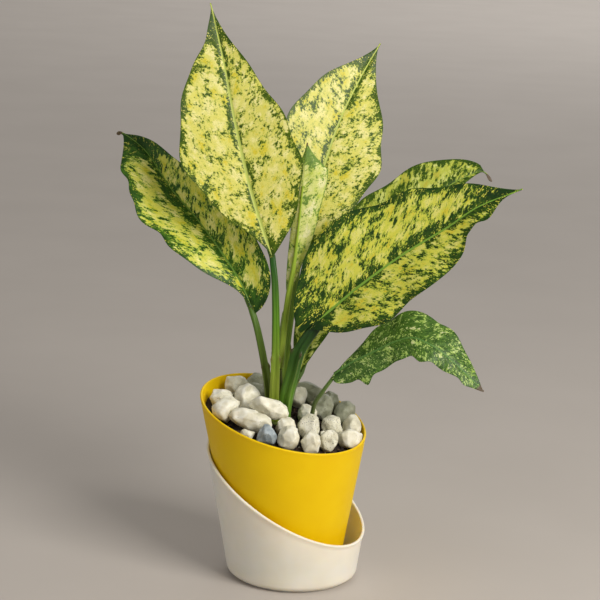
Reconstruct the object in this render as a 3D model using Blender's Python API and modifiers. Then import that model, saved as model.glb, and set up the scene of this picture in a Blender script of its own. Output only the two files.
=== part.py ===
"""Potted chinese evergreen: a slant-topped inner pot standing in a lower slant-topped outer pot,
potting soil, a top dressing of loose pebbles, a short stem and seven variegated leaves.

Frame: the origin is the middle of the outer pot's flat underside, +Z up and -Y the front.
Sizes below are millimetres and degrees; MM turns them into Blender's metres.
"""

import math
import random
from collections import namedtuple

import bmesh
import bpy
import numpy as np
from mathutils import Matrix, Vector
from mathutils.bvhtree import BVHTree

MM = 0.001
CLEAR = 0.3
SHARP_ANGLE = 45.0

# Outer pot: a cone that leans a little, cut by a steep slant that is lowest at the front right
OUTER_BASE_RADIUS = 46.5
OUTER_FLARE = 0.160
OUTER_LEAN = (-0.033, 0.0)
OUTER_RIM = (60.9, -0.500, 0.222)
OUTER_WALL = 1.4
OUTER_FLOOR = 2.6
OUTER_BEAD = 1.1
OUTER_CORNER = 5.0
FOOT_RING_RADIUS = 42.4
FOOT_RING_HIGH = 1.3

# Inner pot: a steeper cone with a gentler slant, on short feet inside the outer pot
INNER_BASE = 6.0
INNER_BASE_RADIUS = 38.6
INNER_FLARE = 0.187
INNER_BASE_CENTRE = (-4.5, 0.0)
INNER_LEAN = (-0.0362, 0.007)
INNER_RIM = (117.1, -0.200, 0.149)
INNER_WALL = 1.8
INNER_FLOOR = 2.4
INNER_BEAD = 0.9
INNER_CORNER = 3.0
FOOT_RADIUS = 5.0
FOOT_RING = 27.0
FOOT_COUNT = 4
DRAIN_RADIUS = 3.0
DRAIN_RING = 16.0
DRAIN_COUNT = 5

# Both pots: how high the wall stays unslanted above its corner, in corner radii
CORNER_TOP = 2.0
POT_SEGMENTS = 56

# Soil: follows the inner pot's slant below its rim and rises towards the stem
SOIL_BELOW_RIM = 8.7
SOIL_MOUND = 3.0
SOIL_LUMP = 0.8
SOIL_HOLE_DEPTH = 24.0
SOIL_SEGMENTS = 40
SOIL_RINGS = (0.0, 0.2, 0.4, 0.6, 0.8, 0.93)
SOIL_LEVEL = 100.0
SOIL_HEEL = 8.0
MOUND_SPREAD = 52.0

# Stem: a short cane whose shoulder carries the leaf stalks, which stand round its slim top
STEM_XY = (-14.5, 1.0)
CANE_RADIUS = 11.2
CANE_TOP = 115.0
CANE_TIP = 152.0
CANE_SLIM = 3.2
CANE_SEGMENTS = 24
SCAR_COUNT = 2
SCAR_STEP = 7.5
SCAR_DEPTH = 1.0

# Top dressing: stones worn flat in places, and small ones where the widest gaps are
PEBBLE_SEED = 7
PEBBLE_ROUGH = 0.10
PEBBLE_GAP = 0.4
PEBBLE_FLATS = 9
FILLER_COUNT = 16
FILLER_ROOM = 1.1
FILLER_LEAST = 4.2
FILLER_MOST = 7.5
PEBBLE_CENTRE = (-8.4, 0.7)
PEBBLE_SPREAD = 49.5
STALKS_CLEAR = 145.0
DROP_FROM = 200.0
PEBBLE_FLAT_AT = 0.37
PEBBLE_BOXY = 2.6
PEBBLE_SWELL = 1.05

# Leaves: blade thickness, halves split in columns, stalk and rib stations, least rib and how it tapers,
# and the half width below which a folded blade opens flat, so that its two faces don't cross at the tip
BLADE_THICKNESS = 0.8
BLADE_COLUMNS = 3
STALK_STATIONS = 9
RIB_STATIONS = 9
RIB_LEAST = 0.8
RIB_SUNK = 0.25
RIB_TAPER = 1.8
RUFFLE_SCALLOP = 0.035
FOLD_NEEDS = 5.0
LEAST_AT_BASE = 1.2
LEAST_AT_TIP = 0.45
LEAST_TAIL = 0.01
SPLINE_STEPS = 24

# One half of a blade; its uneven margin has bumps, each with its share of the length, height and spread.
# Its tip: the share where the blade ends and a dry thread begins, the share over which the blade is
# drawn out and how sharply, and the half width of the thread's shrivelled end.
Side = namedtuple("Side", "width widest taper lift lobe bumps", defaults=[()])
Tip = namedtuple("Tip", "end draw sharp knob")
Leaf = namedtuple("Leaf", "rib faces left right roll tip ruffle stations stalk radii colour")
Stone = namedtuple("Stone", "x y long wide high turn tone")


GROUPS = {}


def clear_scene():
    """Removes the objects that are there and makes the two collections."""
    for obj in list(bpy.data.objects):
        bpy.data.objects.remove(obj, do_unlink=True)
    for name in ("potted_chinese_evergreen", "cutters"):
        group = bpy.data.collections.new(name)
        bpy.context.scene.collection.children.link(group)
        GROUPS[name] = group


def finish(name, colour, roughness):
    """A plain Principled material with the sub-part's colour."""
    material = bpy.data.materials.new(name)
    material.use_nodes = True
    shader = material.node_tree.nodes["Principled BSDF"]
    shader.inputs["Base Color"].default_value = (*colour, 1.0)
    shader.inputs["Roughness"].default_value = roughness
    shader.inputs["Metallic"].default_value = 0.0
    return material


def place(name, mesh, material=None, group="potted_chinese_evergreen"):
    """An object for the mesh, in the part's collection or among the cutters."""
    obj = bpy.data.objects.new(name, mesh)
    GROUPS[group].objects.link(obj)
    if material:
        mesh.materials.clear()
        mesh.materials.append(material)
    if group == "cutters":
        obj.hide_render = True
        obj.display_type = "WIRE"
    return obj


def shade(obj):
    """Smooth shading with the real edges kept sharp."""
    obj.data.shade_smooth()
    obj.data.set_sharp_from_angle(angle=math.radians(SHARP_ANGLE))


def mesh_from(fill):
    """A new mesh filled by a function that takes a bmesh."""
    shape = bmesh.new()
    fill(shape)
    mesh = bpy.data.meshes.new("shape")
    shape.to_mesh(mesh)
    shape.free()
    return mesh


def evaluated_mesh(obj):
    """The object's mesh after its modifiers, with loose caps welded, and the object removed."""
    bpy.context.view_layer.update()
    graph = bpy.context.evaluated_depsgraph_get()
    mesh = bpy.data.meshes.new_from_object(obj.evaluated_get(graph))
    shape = bmesh.new()
    shape.from_mesh(mesh)
    bmesh.ops.remove_doubles(shape, verts=shape.verts, dist=0.00001)
    shape.to_mesh(mesh)
    shape.free()
    bpy.data.objects.remove(obj, do_unlink=True)
    return mesh


def turned(profile, segments):
    """A closed turned mesh from (radius, height) points, given from the axis outwards and down."""
    def fill(shape):
        corners = [shape.verts.new((radius * MM, 0.0, height * MM)) for radius, height in profile]
        for start, end in zip(corners, corners[1:]):
            shape.edges.new((start, end))
    obj = place("turning", mesh_from(fill))
    screw = obj.modifiers.new("turn", "SCREW")
    screw.steps = segments
    screw.render_steps = segments
    screw.use_merge_vertices = True
    screw.merge_threshold = 0.00001
    return evaluated_mesh(obj)


def rim_height(plane, lean, centre, radius, flare, angle):
    """Height where a leaning cone's wall meets the slanted plane, in the direction of the angle."""
    level, along_x, along_y = plane
    slope_x = lean[0] + flare * math.cos(angle)
    slope_y = lean[1] + flare * math.sin(angle)
    start_x = centre[0] + radius * math.cos(angle)
    start_y = centre[1] + radius * math.sin(angle)
    fixed = level + along_x * start_x + along_y * start_y
    return fixed / (1.0 - along_x * slope_x - along_y * slope_y)


def slant(mesh, top, floor_top, bead, plane, lean, centre, radius, flare):
    """Moves a turned pot's wall up or down to its slanted rim, keeping the cone, floor and bead."""
    for corner in mesh.vertices:
        x, y, z = corner.co / MM
        angle = math.atan2(y, x)
        out = math.hypot(x, y)
        rim = rim_height(plane, lean, centre, radius, flare, angle)
        if z <= floor_top:
            height = z
        elif z >= top - bead:
            height = rim + z - top
        else:
            share = (z - floor_top) / (top - bead - floor_top)
            height = floor_top + share * (rim - bead - floor_top)
        out += flare * (height - z) * (1.0 if z > floor_top else 0.0)
        corner.co = Vector((
            centre[0] + lean[0] * height + out * math.cos(angle),
            centre[1] + lean[1] * height + out * math.sin(angle),
            height,
        )) * MM


def arc(centre_x, centre_z, radius, start, end, steps):
    """Points along part of a circle in a profile, in degrees."""
    points = []
    for step in range(steps + 1):
        angle = math.radians(start + (end - start) * step / steps)
        points.append((centre_x + radius * math.cos(angle), centre_z + radius * math.sin(angle)))
    return points


def cup_profile(base, radius, flare, wall, floor, bead, corner, top, foot=None):
    """Inside floor, inside wall, round rim bead, outside wall, round corner, any foot, underside."""
    def outside(height):
        return radius + flare * height
    middle = outside(top - bead) - wall + bead
    upper = base + corner * CORNER_TOP
    points = [(0.0, floor), (outside(floor) - wall - corner, floor)]
    points += arc(outside(floor) - wall - corner, floor + corner, corner, -60, 0, 2)
    points += [(outside(upper) - wall, upper), (outside(top - bead) - wall, top - bead)]
    points += arc(middle, top - bead, bead, 180, -30, 7)[1:]
    points += [(outside(upper), upper)]
    points += arc(outside(base + corner) - corner, base + corner, corner, 0, -60, 3)
    points += [(outside(base) - corner, base)]
    if foot:
        points += [(foot, base), (foot, 0.0)]
    points += [(0.0, points[-1][1])]
    return points


def outer_pot():
    top = OUTER_RIM[0]
    profile = cup_profile(FOOT_RING_HIGH, OUTER_BASE_RADIUS, OUTER_FLARE, OUTER_WALL, OUTER_FLOOR,
                          OUTER_BEAD, OUTER_CORNER, top, FOOT_RING_RADIUS)
    mesh = turned(profile, POT_SEGMENTS)
    slant(mesh, top, FOOT_RING_HIGH + OUTER_CORNER * CORNER_TOP, OUTER_BEAD, OUTER_RIM, OUTER_LEAN,
          (0.0, 0.0), OUTER_BASE_RADIUS, OUTER_FLARE)
    obj = place("outer_pot", mesh, finish("cream_plastic", (0.80, 0.74, 0.62), 0.45))
    shade(obj)
    return obj


def inner_origin():
    """Where the inner pot's axis and radius would be at height zero."""
    x = INNER_BASE_CENTRE[0] - INNER_LEAN[0] * INNER_BASE
    y = INNER_BASE_CENTRE[1] - INNER_LEAN[1] * INNER_BASE
    return (x, y), INNER_BASE_RADIUS - INNER_FLARE * INNER_BASE


def cylinder(radius, low, high, x, y, segments):
    """A closed cylinder mesh standing at (x, y)."""
    def fill(shape):
        middle = Matrix.Translation(Vector((x, y, (low + high) / 2)) * MM)
        bmesh.ops.create_cone(shape, cap_ends=True, segments=segments, radius1=radius * MM,
                              radius2=radius * MM, depth=(high - low) * MM, matrix=middle)
    return mesh_from(fill)


def boolean(obj, operation, tools, name):
    """Adds a Boolean with a collection of tools and applies it, removing the tools."""
    group = bpy.data.collections.new(name)
    GROUPS["cutters"].children.link(group)
    for number, mesh in enumerate(tools):
        tool = bpy.data.objects.new(f"{name}_{number}", mesh)
        tool.hide_render = True
        tool.display_type = "WIRE"
        group.objects.link(tool)
    change = obj.modifiers.new(name, "BOOLEAN")
    change.operation = operation
    change.operand_type = "COLLECTION"
    change.collection = group
    change.solver = "EXACT"
    bpy.context.view_layer.update()
    graph = bpy.context.evaluated_depsgraph_get()
    joined = bpy.data.meshes.new_from_object(obj.evaluated_get(graph))
    obj.modifiers.remove(change)
    obj.data = joined
    for tool in list(group.objects):
        bpy.data.objects.remove(tool, do_unlink=True)
    bpy.data.collections.remove(group)


def ring_places(count, ring, centre, turn=0.0):
    for step in range(count):
        angle = 2 * math.pi * step / count + turn
        yield centre[0] + ring * math.cos(angle), centre[1] + ring * math.sin(angle)


def inner_pot():
    centre, radius = inner_origin()
    top = INNER_RIM[0]
    profile = cup_profile(INNER_BASE, radius, INNER_FLARE, INNER_WALL, INNER_BASE + INNER_FLOOR,
                          INNER_BEAD, INNER_CORNER, top)
    mesh = turned(profile, POT_SEGMENTS)
    slant(mesh, top, INNER_BASE + INNER_CORNER * CORNER_TOP, INNER_BEAD, INNER_RIM, INNER_LEAN,
          centre, radius, INNER_FLARE)
    obj = place("inner_pot", mesh, finish("yellow_plastic", (0.80, 0.52, 0.01), 0.4))
    foot_low = OUTER_FLOOR + CLEAR
    feet = [cylinder(FOOT_RADIUS, foot_low, INNER_BASE + 1.0, x, y, 16)
            for x, y in ring_places(FOOT_COUNT, FOOT_RING, INNER_BASE_CENTRE, math.pi / 4)]
    drains = [cylinder(DRAIN_RADIUS, INNER_BASE - 1.0, INNER_BASE + INNER_FLOOR + 1.0, x, y, 16)
              for x, y in ring_places(DRAIN_COUNT, DRAIN_RING, INNER_BASE_CENTRE)]
    boolean(obj, "UNION", feet, "feet")
    boolean(obj, "DIFFERENCE", drains, "drains")
    shade(obj)
    return obj


def soil_height(x, y):
    """The soil's top: below the slanted rim near the wall and higher round the stem."""
    level, along_x, along_y = INNER_RIM
    rim = level + along_x * x + along_y * y
    spread = math.hypot(x - PEBBLE_CENTRE[0], y) / MOUND_SPREAD
    lump = SOIL_LUMP * math.sin(x * 0.31 + 1.0) * math.sin(y * 0.27 + x * 0.08)
    return rim - SOIL_BELOW_RIM + SOIL_MOUND * max(0.0, 1.0 - spread * spread) + lump


def soil():
    """A plug of soil that fills the inner pot, with plain holes for the cane and the lone stalk."""
    centre, radius = inner_origin()
    low = INNER_BASE + INNER_FLOOR + CLEAR
    heel = low + SOIL_HEEL
    def inside(height):
        return radius + INNER_FLARE * height - INNER_WALL - CLEAR
    profile = [(share * inside(SOIL_LEVEL), SOIL_LEVEL) for share in (*SOIL_RINGS, 1.0)]
    profile += [(inside(heel), heel), (inside(low) - SOIL_HEEL / 2, low), (0.0, low)]
    mesh = turned(profile, SOIL_SEGMENTS)
    for corner in mesh.vertices:
        x, y, z = corner.co / MM
        height = z
        on_top = z > heel + 1.0
        for _ in range(3 if on_top else 1):
            widen = 1.0 + INNER_FLARE * (height - z) / inside(SOIL_LEVEL)
            at = (centre[0] + INNER_LEAN[0] * height + x * widen,
                  centre[1] + INNER_LEAN[1] * height + y * widen)
            height = soil_height(*at) if on_top else z
        corner.co = Vector((*at, height)) * MM
    obj = place("soil", mesh, finish("potting_soil", (0.035, 0.024, 0.016), 0.95))
    hole_top = CANE_TOP + SOIL_HOLE_DEPTH
    holes = [cylinder(CANE_RADIUS + CLEAR, CANE_TOP - SOIL_HOLE_DEPTH, hole_top, *STEM_XY,
                      CANE_SEGMENTS)]
    lone = LEAVES["leaf_old_drooping"]
    x, y, foot = lone.stalk[0]
    holes.append(cylinder(lone.radii[0] + 2 * CLEAR, foot - 1.0, hole_top, x, y, CANE_SEGMENTS // 2))
    boolean(obj, "DIFFERENCE", holes, "holes")
    return obj


def stem():
    """The cane, with two leaf scars, and the slim shoot that the stalks close round."""
    bottom = CANE_TOP - SOIL_HOLE_DEPTH + CLEAR
    profile = [(0.0, CANE_TIP), (CANE_SLIM * 0.4, CANE_TIP - 0.6), (CANE_SLIM * 0.8, CANE_TIP - 12.0),
               (CANE_SLIM, CANE_TOP), (CANE_RADIUS - SCAR_DEPTH, CANE_TOP)]
    for scar in range(SCAR_COUNT):
        height = CANE_TOP - SCAR_DEPTH - scar * SCAR_STEP
        profile += [(CANE_RADIUS, height), (CANE_RADIUS - SCAR_DEPTH, height - SCAR_STEP + 1.0)]
    profile += [(CANE_RADIUS - SCAR_DEPTH, bottom), (0.0, bottom)]
    obj = place("stem", turned(profile, CANE_SEGMENTS), finish("green_cane", (0.12, 0.22, 0.04), 0.5))
    obj.location = Vector((*STEM_XY, 0.0)) * MM
    shade(obj)
    return obj


def smooth_path(points, count):
    """A Catmull-Rom curve through the points, cut into equal lengths."""
    guide = [Vector(point) for point in points]
    guide = [guide[0] * 2 - guide[1]] + guide + [guide[-1] * 2 - guide[-2]]
    dense = []
    for before, start, end, after in zip(guide, guide[1:], guide[2:], guide[3:]):
        for step in range(SPLINE_STEPS):
            s = step / SPLINE_STEPS
            dense.append(0.5 * (2 * start + (end - before) * s
                                + (2 * before - 5 * start + 4 * end - after) * s * s
                                + (3 * start - before - 3 * end + after) * s ** 3))
    dense.append(guide[-2])
    lengths = [0.0]
    for start, end in zip(dense, dense[1:]):
        lengths.append(lengths[-1] + (end - start).length)
    path = []
    at = 0
    for step in range(count):
        goal = lengths[-1] * step / (count - 1)
        while at < len(lengths) - 2 and lengths[at + 1] < goal:
            at += 1
        span = lengths[at + 1] - lengths[at]
        path.append(dense[at].lerp(dense[at + 1], min(1.0, (goal - lengths[at]) / span)))
    return path


def leaf_outline(share, side, tip):
    """Half width at a share of the leaf's length: round at the base, drawn out at the tip."""
    grown = min(share / tip.end, 1.0)
    peak = side.widest ** side.widest * (1 - side.widest) ** (1 - side.widest)
    full = (grown ** side.widest * (1 - grown) ** (1 - side.widest) / peak) ** side.taper
    full *= side.width * min(1.0, (1 - grown) / tip.draw) ** tip.sharp
    full += sum(out * math.exp(-((share - at) / spread) ** 2) for at, out, spread in side.bumps)
    past = max(0.0, share - tip.end) / max(1 - tip.end, LEAST_TAIL)
    least = LEAST_AT_BASE * (1 - share) + LEAST_AT_TIP * share + tip.knob * math.sin(math.pi * past * past)
    return max(full, least)


def leaf_frames(leaf, count):
    """Points along the midrib with the direction of growth, the face and the right hand side."""
    rib = smooth_path(leaf.rib, count)
    frames = []
    for number, point in enumerate(rib):
        ahead = rib[min(number + 1, count - 1)] - rib[max(number - 1, 0)]
        ahead.normalize()
        share = number / (count - 1)
        face = Vector(leaf.faces[0]).lerp(Vector(leaf.faces[1]), share)
        face = (face - ahead * face.dot(ahead)).normalized()
        frames.append((point, ahead, face, ahead.cross(face), share))
    return frames


def leaf_point(leaf, frame, across):
    """A point of the blade; across runs from -1 at the left edge to 1 at the right edge."""
    point, ahead, face, right, share = frame
    side = leaf.right if across > 0 else leaf.left
    half = leaf_outline(share, side, leaf.tip)
    lift = math.radians(side.lift + leaf.roll * abs(across)) * min(1.0, half / FOLD_NEEDS)
    height, waves, phase = leaf.ruffle
    turn = 2 * math.pi * waves * share + phase + (2.0 if across > 0 else 0.0)
    swell = math.sin(math.pi * share) ** 0.5 * abs(across) ** 2
    wave = height * swell * math.sin(turn)
    reach = abs(across) * half * (1.0 + RUFFLE_SCALLOP * math.cos(turn * 1.3))
    back = side.lobe * abs(across) ** 1.5 * (1 - share) ** 5
    out = right * math.copysign(reach * math.cos(lift), across)
    return point + out + face * (reach * math.sin(lift) + wave) - ahead * back


def blade_mesh(leaf):
    """A ruffled sheet of even thickness, triangles alike on both of its faces."""
    frames = leaf_frames(leaf, leaf.stations)
    columns = 2 * BLADE_COLUMNS
    def fill(shape):
        bmesh.ops.create_grid(shape, x_segments=columns, y_segments=leaf.stations - 1, size=1.0)
        for corner in shape.verts:
            column = round((corner.co.x + 1) / 2 * columns)
            row = round((corner.co.y + 1) / 2 * (leaf.stations - 1))
            across = (column - BLADE_COLUMNS) / BLADE_COLUMNS
            corner.co = leaf_point(leaf, frames[row], across) * MM
        bmesh.ops.triangulate(shape, faces=shape.faces, quad_method="SHORT_EDGE")
    obj = place("blade", mesh_from(fill))
    thick = obj.modifiers.new("thickness", "SOLIDIFY")
    thick.thickness = BLADE_THICKNESS * MM
    thick.offset = 0.0
    return evaluated_mesh(obj)


def stalk_mesh(leaf):
    """The leaf stalk, running on as a rib that fades out under the blade."""
    frames = leaf_frames(leaf, RIB_STATIONS)
    rib_radii = [max(leaf.radii[1] * (1 - frame[4]) ** RIB_TAPER, RIB_LEAST) for frame in frames]
    under = [frame[0] - frame[2] * (radius - RIB_SUNK) for frame, radius in zip(frames, rib_radii)]
    route = smooth_path([*leaf.stalk, under[0]], STALK_STATIONS)
    steps = STALK_STATIONS - 1
    radii = [leaf.radii[0] + (leaf.radii[1] - leaf.radii[0]) * step / steps for step in range(steps + 1)]
    route += under[1:RIB_STATIONS - 3]
    radii += rib_radii[1:RIB_STATIONS - 3]
    curve = bpy.data.curves.new("stalk", "CURVE")
    curve.dimensions = "3D"
    curve.bevel_depth = MM
    curve.bevel_resolution = 2
    curve.use_fill_caps = True
    spline = curve.splines.new("POLY")
    spline.points.add(len(route) - 1)
    for knot, point, radius in zip(spline.points, route, radii):
        knot.co = (*(point * MM), 1.0)
        knot.radius = radius
    obj = bpy.data.objects.new("stalk", curve)
    GROUPS["potted_chinese_evergreen"].objects.link(obj)
    return evaluated_mesh(obj)


def make_leaf(name, leaf):
    obj = place(name, blade_mesh(leaf), finish(name, leaf.colour, 0.35))
    material = obj.data.materials[0]
    boolean(obj, "UNION", [stalk_mesh(leaf)], name + "_stalk")
    obj.data.materials.clear()
    obj.data.materials.append(material)
    shade(obj)
    return obj


def ring_foot(angle, radius):
    """The upright start of a stalk that stands on the cane's shoulder, against the slim shoot."""
    reach = CANE_SLIM + CLEAR + radius
    x = STEM_XY[0] + reach * math.cos(math.radians(angle))
    y = STEM_XY[1] + reach * math.sin(math.radians(angle))
    return (x, y, CANE_TOP + CLEAR), (x, y, CANE_TOP + 6.0)


PALE = (0.62, 0.60, 0.22)
GREEN = (0.10, 0.24, 0.04)
PLAIN_TIP = Tip(1.0, 0.05, 0.0, 0.0)
LEAVES = {
    "leaf_tall_front": Leaf(
        rib=[(-23, -4, 234), (-30, -3, 252), (-41, 1, 283), (-52, 9, 322), (-63, 20, 367), (-74, 32, 406)],
        faces=((0, -1, 0.15), (0, -1, 0.3)),
        left=Side(43, 0.49, 3.3, 8, 0, ((0.60, -4, 0.08), (0.85, -3, 0.05))),
        right=Side(39.5, 0.36, 2.7, 8, 0), roll=0,
        tip=PLAIN_TIP, ruffle=(1.2, 3.5, 0.6), stations=20,
        stalk=[*ring_foot(243, 3.5), (-17.8, -6.4, 138), (-18, -8, 170), (-20, -6, 210)],
        radii=(3.5, 2.1), colour=PALE),
    "leaf_upper_right": Leaf(
        rib=[(-5, 22, 220), (4, 31, 266), (14, 46, 304), (23, 58, 330), (35, 72, 355), (48, 84, 378)],
        faces=((0.1, -1, 0.3), (0.2, -1, 0.3)),
        left=Side(36.5, 0.54, 3.6, 8, 0), right=Side(38, 0.49, 3.4, 8, 0), roll=0,
        tip=PLAIN_TIP, ruffle=(1.2, 3.5, 2.0), stations=19,
        stalk=[*ring_foot(70, 3.0), (-12, 9, 138), (-10, 13, 170), (-7, 18, 200)],
        radii=(3.0, 1.9), colour=PALE),
    "leaf_folded_left": Leaf(
        rib=[(-36.5, 6, 195), (-46, 12, 213), (-62, 20, 234), (-80, 30, 254), (-99, 42, 272),
             (-118, 56, 295), (-135, 65, 306), (-141, 66, 306)],
        faces=((0.25, -1, 0.3), (0.3, -1, 0.4)),
        left=Side(40.2, 0.56, 2.7, 20, 0, ((0.475, -8, 0.068), (0.64, -4, 0.041), (0.72, -6, 0.049),
                                          (0.845, 5.8, 0.099))),
        right=Side(28.7, 0.33, 1.49, 33, 5), roll=0,
        tip=Tip(0.965, 0.05, 0.0, 1.0), ruffle=(1.3, 3.0, 1.0), stations=28,
        stalk=[*ring_foot(180, 3.0), (-22.5, 1.5, 138), (-26.5, 3, 158), (-32, 5, 180)],
        radii=(3.0, 2.2), colour=PALE),
    "leaf_young_spear": Leaf(
        rib=[(-10.5, 9, 205), (-7.5, 10, 230), (-5.5, 12, 257), (-4, 14, 283), (-3.2, 15, 300),
             (-2, 16, 313)],
        faces=((0, 1, 0), (0.05, 1, 0)),
        left=Side(18, 0.81, 1.2, 0, 0), right=Side(6, 0.5, 0.8, 0, 0), roll=24,
        tip=Tip(1.0, 0.17, 1.1, 0.0), ruffle=(0.3, 2.0, 0.0), stations=20,
        stalk=[(-14.5, 1.0, 152.8), (-13.5, 3.5, 170), (-12, 6.5, 190)],
        radii=(2.2, 2.2), colour=(0.42, 0.48, 0.16)),
    "leaf_broad_right": Leaf(
        rib=[(8, -12, 189), (21, -15, 202), (41, -21, 222), (68, -29, 246), (95, -39, 267),
             (115, -47, 284), (143, -56, 299)],
        faces=((-0.3, -0.9, 0.5), (-0.3, -0.8, 0.6)),
        left=Side(42.3, 0.36, 1.34, 8, 12, ((0.25, 8, 0.15),)),
        right=Side(36.2, 0.34, 3.0, 8, 5, ((0.635, 10, 0.12), (0.732, -2.6, 0.022), (0.846, 8.7, 0.049))),
        roll=0, tip=Tip(1.0, 0.30, 0.43, 0.0), ruffle=(1.2, 3.5, 1.4), stations=26,
        stalk=[*ring_foot(309, 4.2), (-8.2, -6.5, 136), (-4.8, -8, 152), (-0.6, -9.5, 170)],
        radii=(4.2, 4.2), colour=GREEN),
    "leaf_back_right": Leaf(
        rib=[(0, 18, 146), (9, 26, 172), (30, 42, 206), (65, 60, 246), (97, 76, 272), (126, 88, 286),
             (136, 89, 279)],
        faces=((-0.2, -1, 0.4), (-0.3, -0.8, 0.8)),
        left=Side(32.3, 0.59, 1.25, 8, 0), right=Side(14.3, 0.47, 1.72, 8, 0), roll=0,
        tip=Tip(0.955, 0.05, 0.0, 0.7), ruffle=(1.4, 4.0, 0.0), stations=32,
        stalk=[*ring_foot(12, 2.8), (-6.5, 5.5, 129), (-4, 12, 138)],
        radii=(2.8, 2.3), colour=GREEN),
    "leaf_old_drooping": Leaf(
        rib=[(24, -7, 152), (36, -10, 162), (50, -14, 171), (64, -18, 180), (77, -22, 185), (89, -26, 182),
             (101, -29, 175), (117, -33, 162), (128, -36, 152)],
        faces=((-0.2, -0.8, 0.8), (0.4, -0.8, 0.6)),
        left=Side(21.5, 0.53, 2.8, -6, 0),
        right=Side(14.6, 0.31, 0.99, -10, 3, ((0.185, 8, 0.034), (0.615, 3, 0.04), (0.895, 2, 0.035))),
        roll=0, tip=PLAIN_TIP, ruffle=(1.5, 4.5, 0.5), stations=28,
        stalk=[(9, -8, 104), (10.5, -8, 127), (16, -7.5, 138)],
        radii=(1.7, 1.3), colour=GREEN),
}

# The larger loose stones, front row first: place in plan, length, breadth, height, turn, colour
STONES = [
    Stone(-21.5, -43.5, 14, 14, 16, 0, "grey"), Stone(-6, -39.5, 15, 15, 17, 10, "white"),
    Stone(9.5, -37.5, 15, 15, 18, 70, "white"), Stone(22.5, -28.5, 14, 14, 17, 0, "white"),
    Stone(36.5, -15, 19, 14, 16, 40, "white"), Stone(-33, -28.5, 31, 15, 17, -14, "white"),
    Stone(-51.5, -18, 20, 18, 18, 60, "white"), Stone(-9, -25.5, 16, 12, 14, 5, "white"),
    Stone(8.5, -20, 16, 14, 20, 0, "white"), Stone(39.5, 5, 16, 14, 16, 100, "white"),
    Stone(24.5, -5, 15, 16, 17, 30, "white"), Stone(-56, 5, 18, 15, 15, 80, "white"),
    Stone(-38, 2, 19, 18, 19, 30, "white"), Stone(33, 23, 16, 14, 17, 0, "grey"),
    Stone(17, 16.5, 16, 15, 20, 70, "grey"), Stone(-1, 28, 15, 15, 17, 10, "white"),
    Stone(-45, 30, 19, 16, 16, 30, "white"), Stone(-31.5, 20, 15, 13, 16, 0, "grey"),
    Stone(-15, 45, 19, 14, 15, 20, "white"), Stone(8, 44, 24, 14, 18, 0, "grey"),
    Stone(23.5, 37.5, 14, 13, 17, 30, "grey"), Stone(-32, 44, 14, 13, 15, 0, "grey"),
    Stone(-17, 28, 16, 14, 16, 50, "white"), Stone(-30, -14.5, 12, 11, 11.2, 0, "white"),
    Stone(-21.5, -17.5, 30, 12.5, 14, -12, "white"),
]
STONE_COLOURS = {"white": (0.70, 0.66, 0.56), "grey": (0.36, 0.37, 0.35)}


def stone_mesh(stone, rng):
    """A tumbled stone lying on the soil's slope: a boxy, uneven ball with worn flats."""
    slope = Vector((-INNER_RIM[1], -INNER_RIM[2], 1.0))
    lie = Vector((0, 0, 1)).rotation_difference(slope).to_matrix()
    lie @= Matrix.Rotation(math.radians(stone.turn), 3, "Z")
    flats = [Vector((rng.gauss(0, 1), rng.gauss(0, 1), rng.gauss(0, 1))).normalized()
             for _ in range(PEBBLE_FLATS)]
    def fill(shape):
        bmesh.ops.create_icosphere(shape, subdivisions=2, radius=0.5)
        for corner in shape.verts:
            way = corner.co.normalized()
            boxy = sum(abs(part) ** PEBBLE_BOXY for part in way) ** (-1 / PEBBLE_BOXY)
            worn = way * 0.5 * boxy * (1.0 - PEBBLE_ROUGH * rng.random())
            for flat in flats:
                worn -= flat * max(0.0, worn.dot(flat) - PEBBLE_FLAT_AT)
            worn *= PEBBLE_SWELL
            sized = Vector((worn.x * stone.long, worn.y * stone.wide, worn.z * stone.high))
            corner.co = (lie @ sized) * MM
    return mesh_from(fill)


def tree_of(obj):
    """A search tree of the object's triangles in world space."""
    shape = bmesh.new()
    shape.from_mesh(obj.data)
    shape.transform(obj.matrix_world)
    bmesh.ops.triangulate(shape, faces=shape.faces)
    tree = BVHTree.FromBMesh(shape)
    corners = [corner.co.copy() for corner in shape.verts]
    shape.free()
    return tree, corners


def free_fall(mover, standing):
    """How far the mover can sink before it touches anything that stands."""
    tree, corners = tree_of(mover)
    down = Vector((0, 0, -1))
    drop = DROP_FROM * MM
    for other, points in standing:
        for corner in corners:
            distance = other.ray_cast(corner, down)[3]
            if distance is not None:
                drop = min(drop, distance)
        for point in points:
            distance = tree.ray_cast(point, -down)[3]
            if distance is not None:
                drop = min(drop, distance)
    return drop


def widest_gap(standing):
    """The point in plan farthest from all that stands there, and its distance from them."""
    taken = np.array([corner.xy for _, corners in standing for corner in corners]) / MM
    across = np.arange(-70.0, 55.0, 1.0)
    spots = np.array([(x, y) for x in across for y in across])
    reach = np.full(len(spots), 1000.0)
    for corner in taken:
        reach = np.minimum(reach, np.hypot(*(spots - corner).T))
    reach[np.hypot(*(spots - PEBBLE_CENTRE).T) > PEBBLE_SPREAD] = 0.0
    best = int(reach.argmax())
    return spots[best], reach[best]


def drop_stone(number, stone, rng, finishes, standing):
    """Lowers one stone from above until it rests on what stands there."""
    obj = place(f"pebble_{number:02d}", stone_mesh(stone, rng), finishes[stone.tone])
    obj.location = Vector((stone.x, stone.y, DROP_FROM)) * MM
    bpy.context.view_layer.update()
    obj.location.z -= free_fall(obj, standing) - PEBBLE_GAP * MM
    bpy.context.view_layer.update()
    obj.data.shade_smooth()
    standing.append(tree_of(obj))


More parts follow.
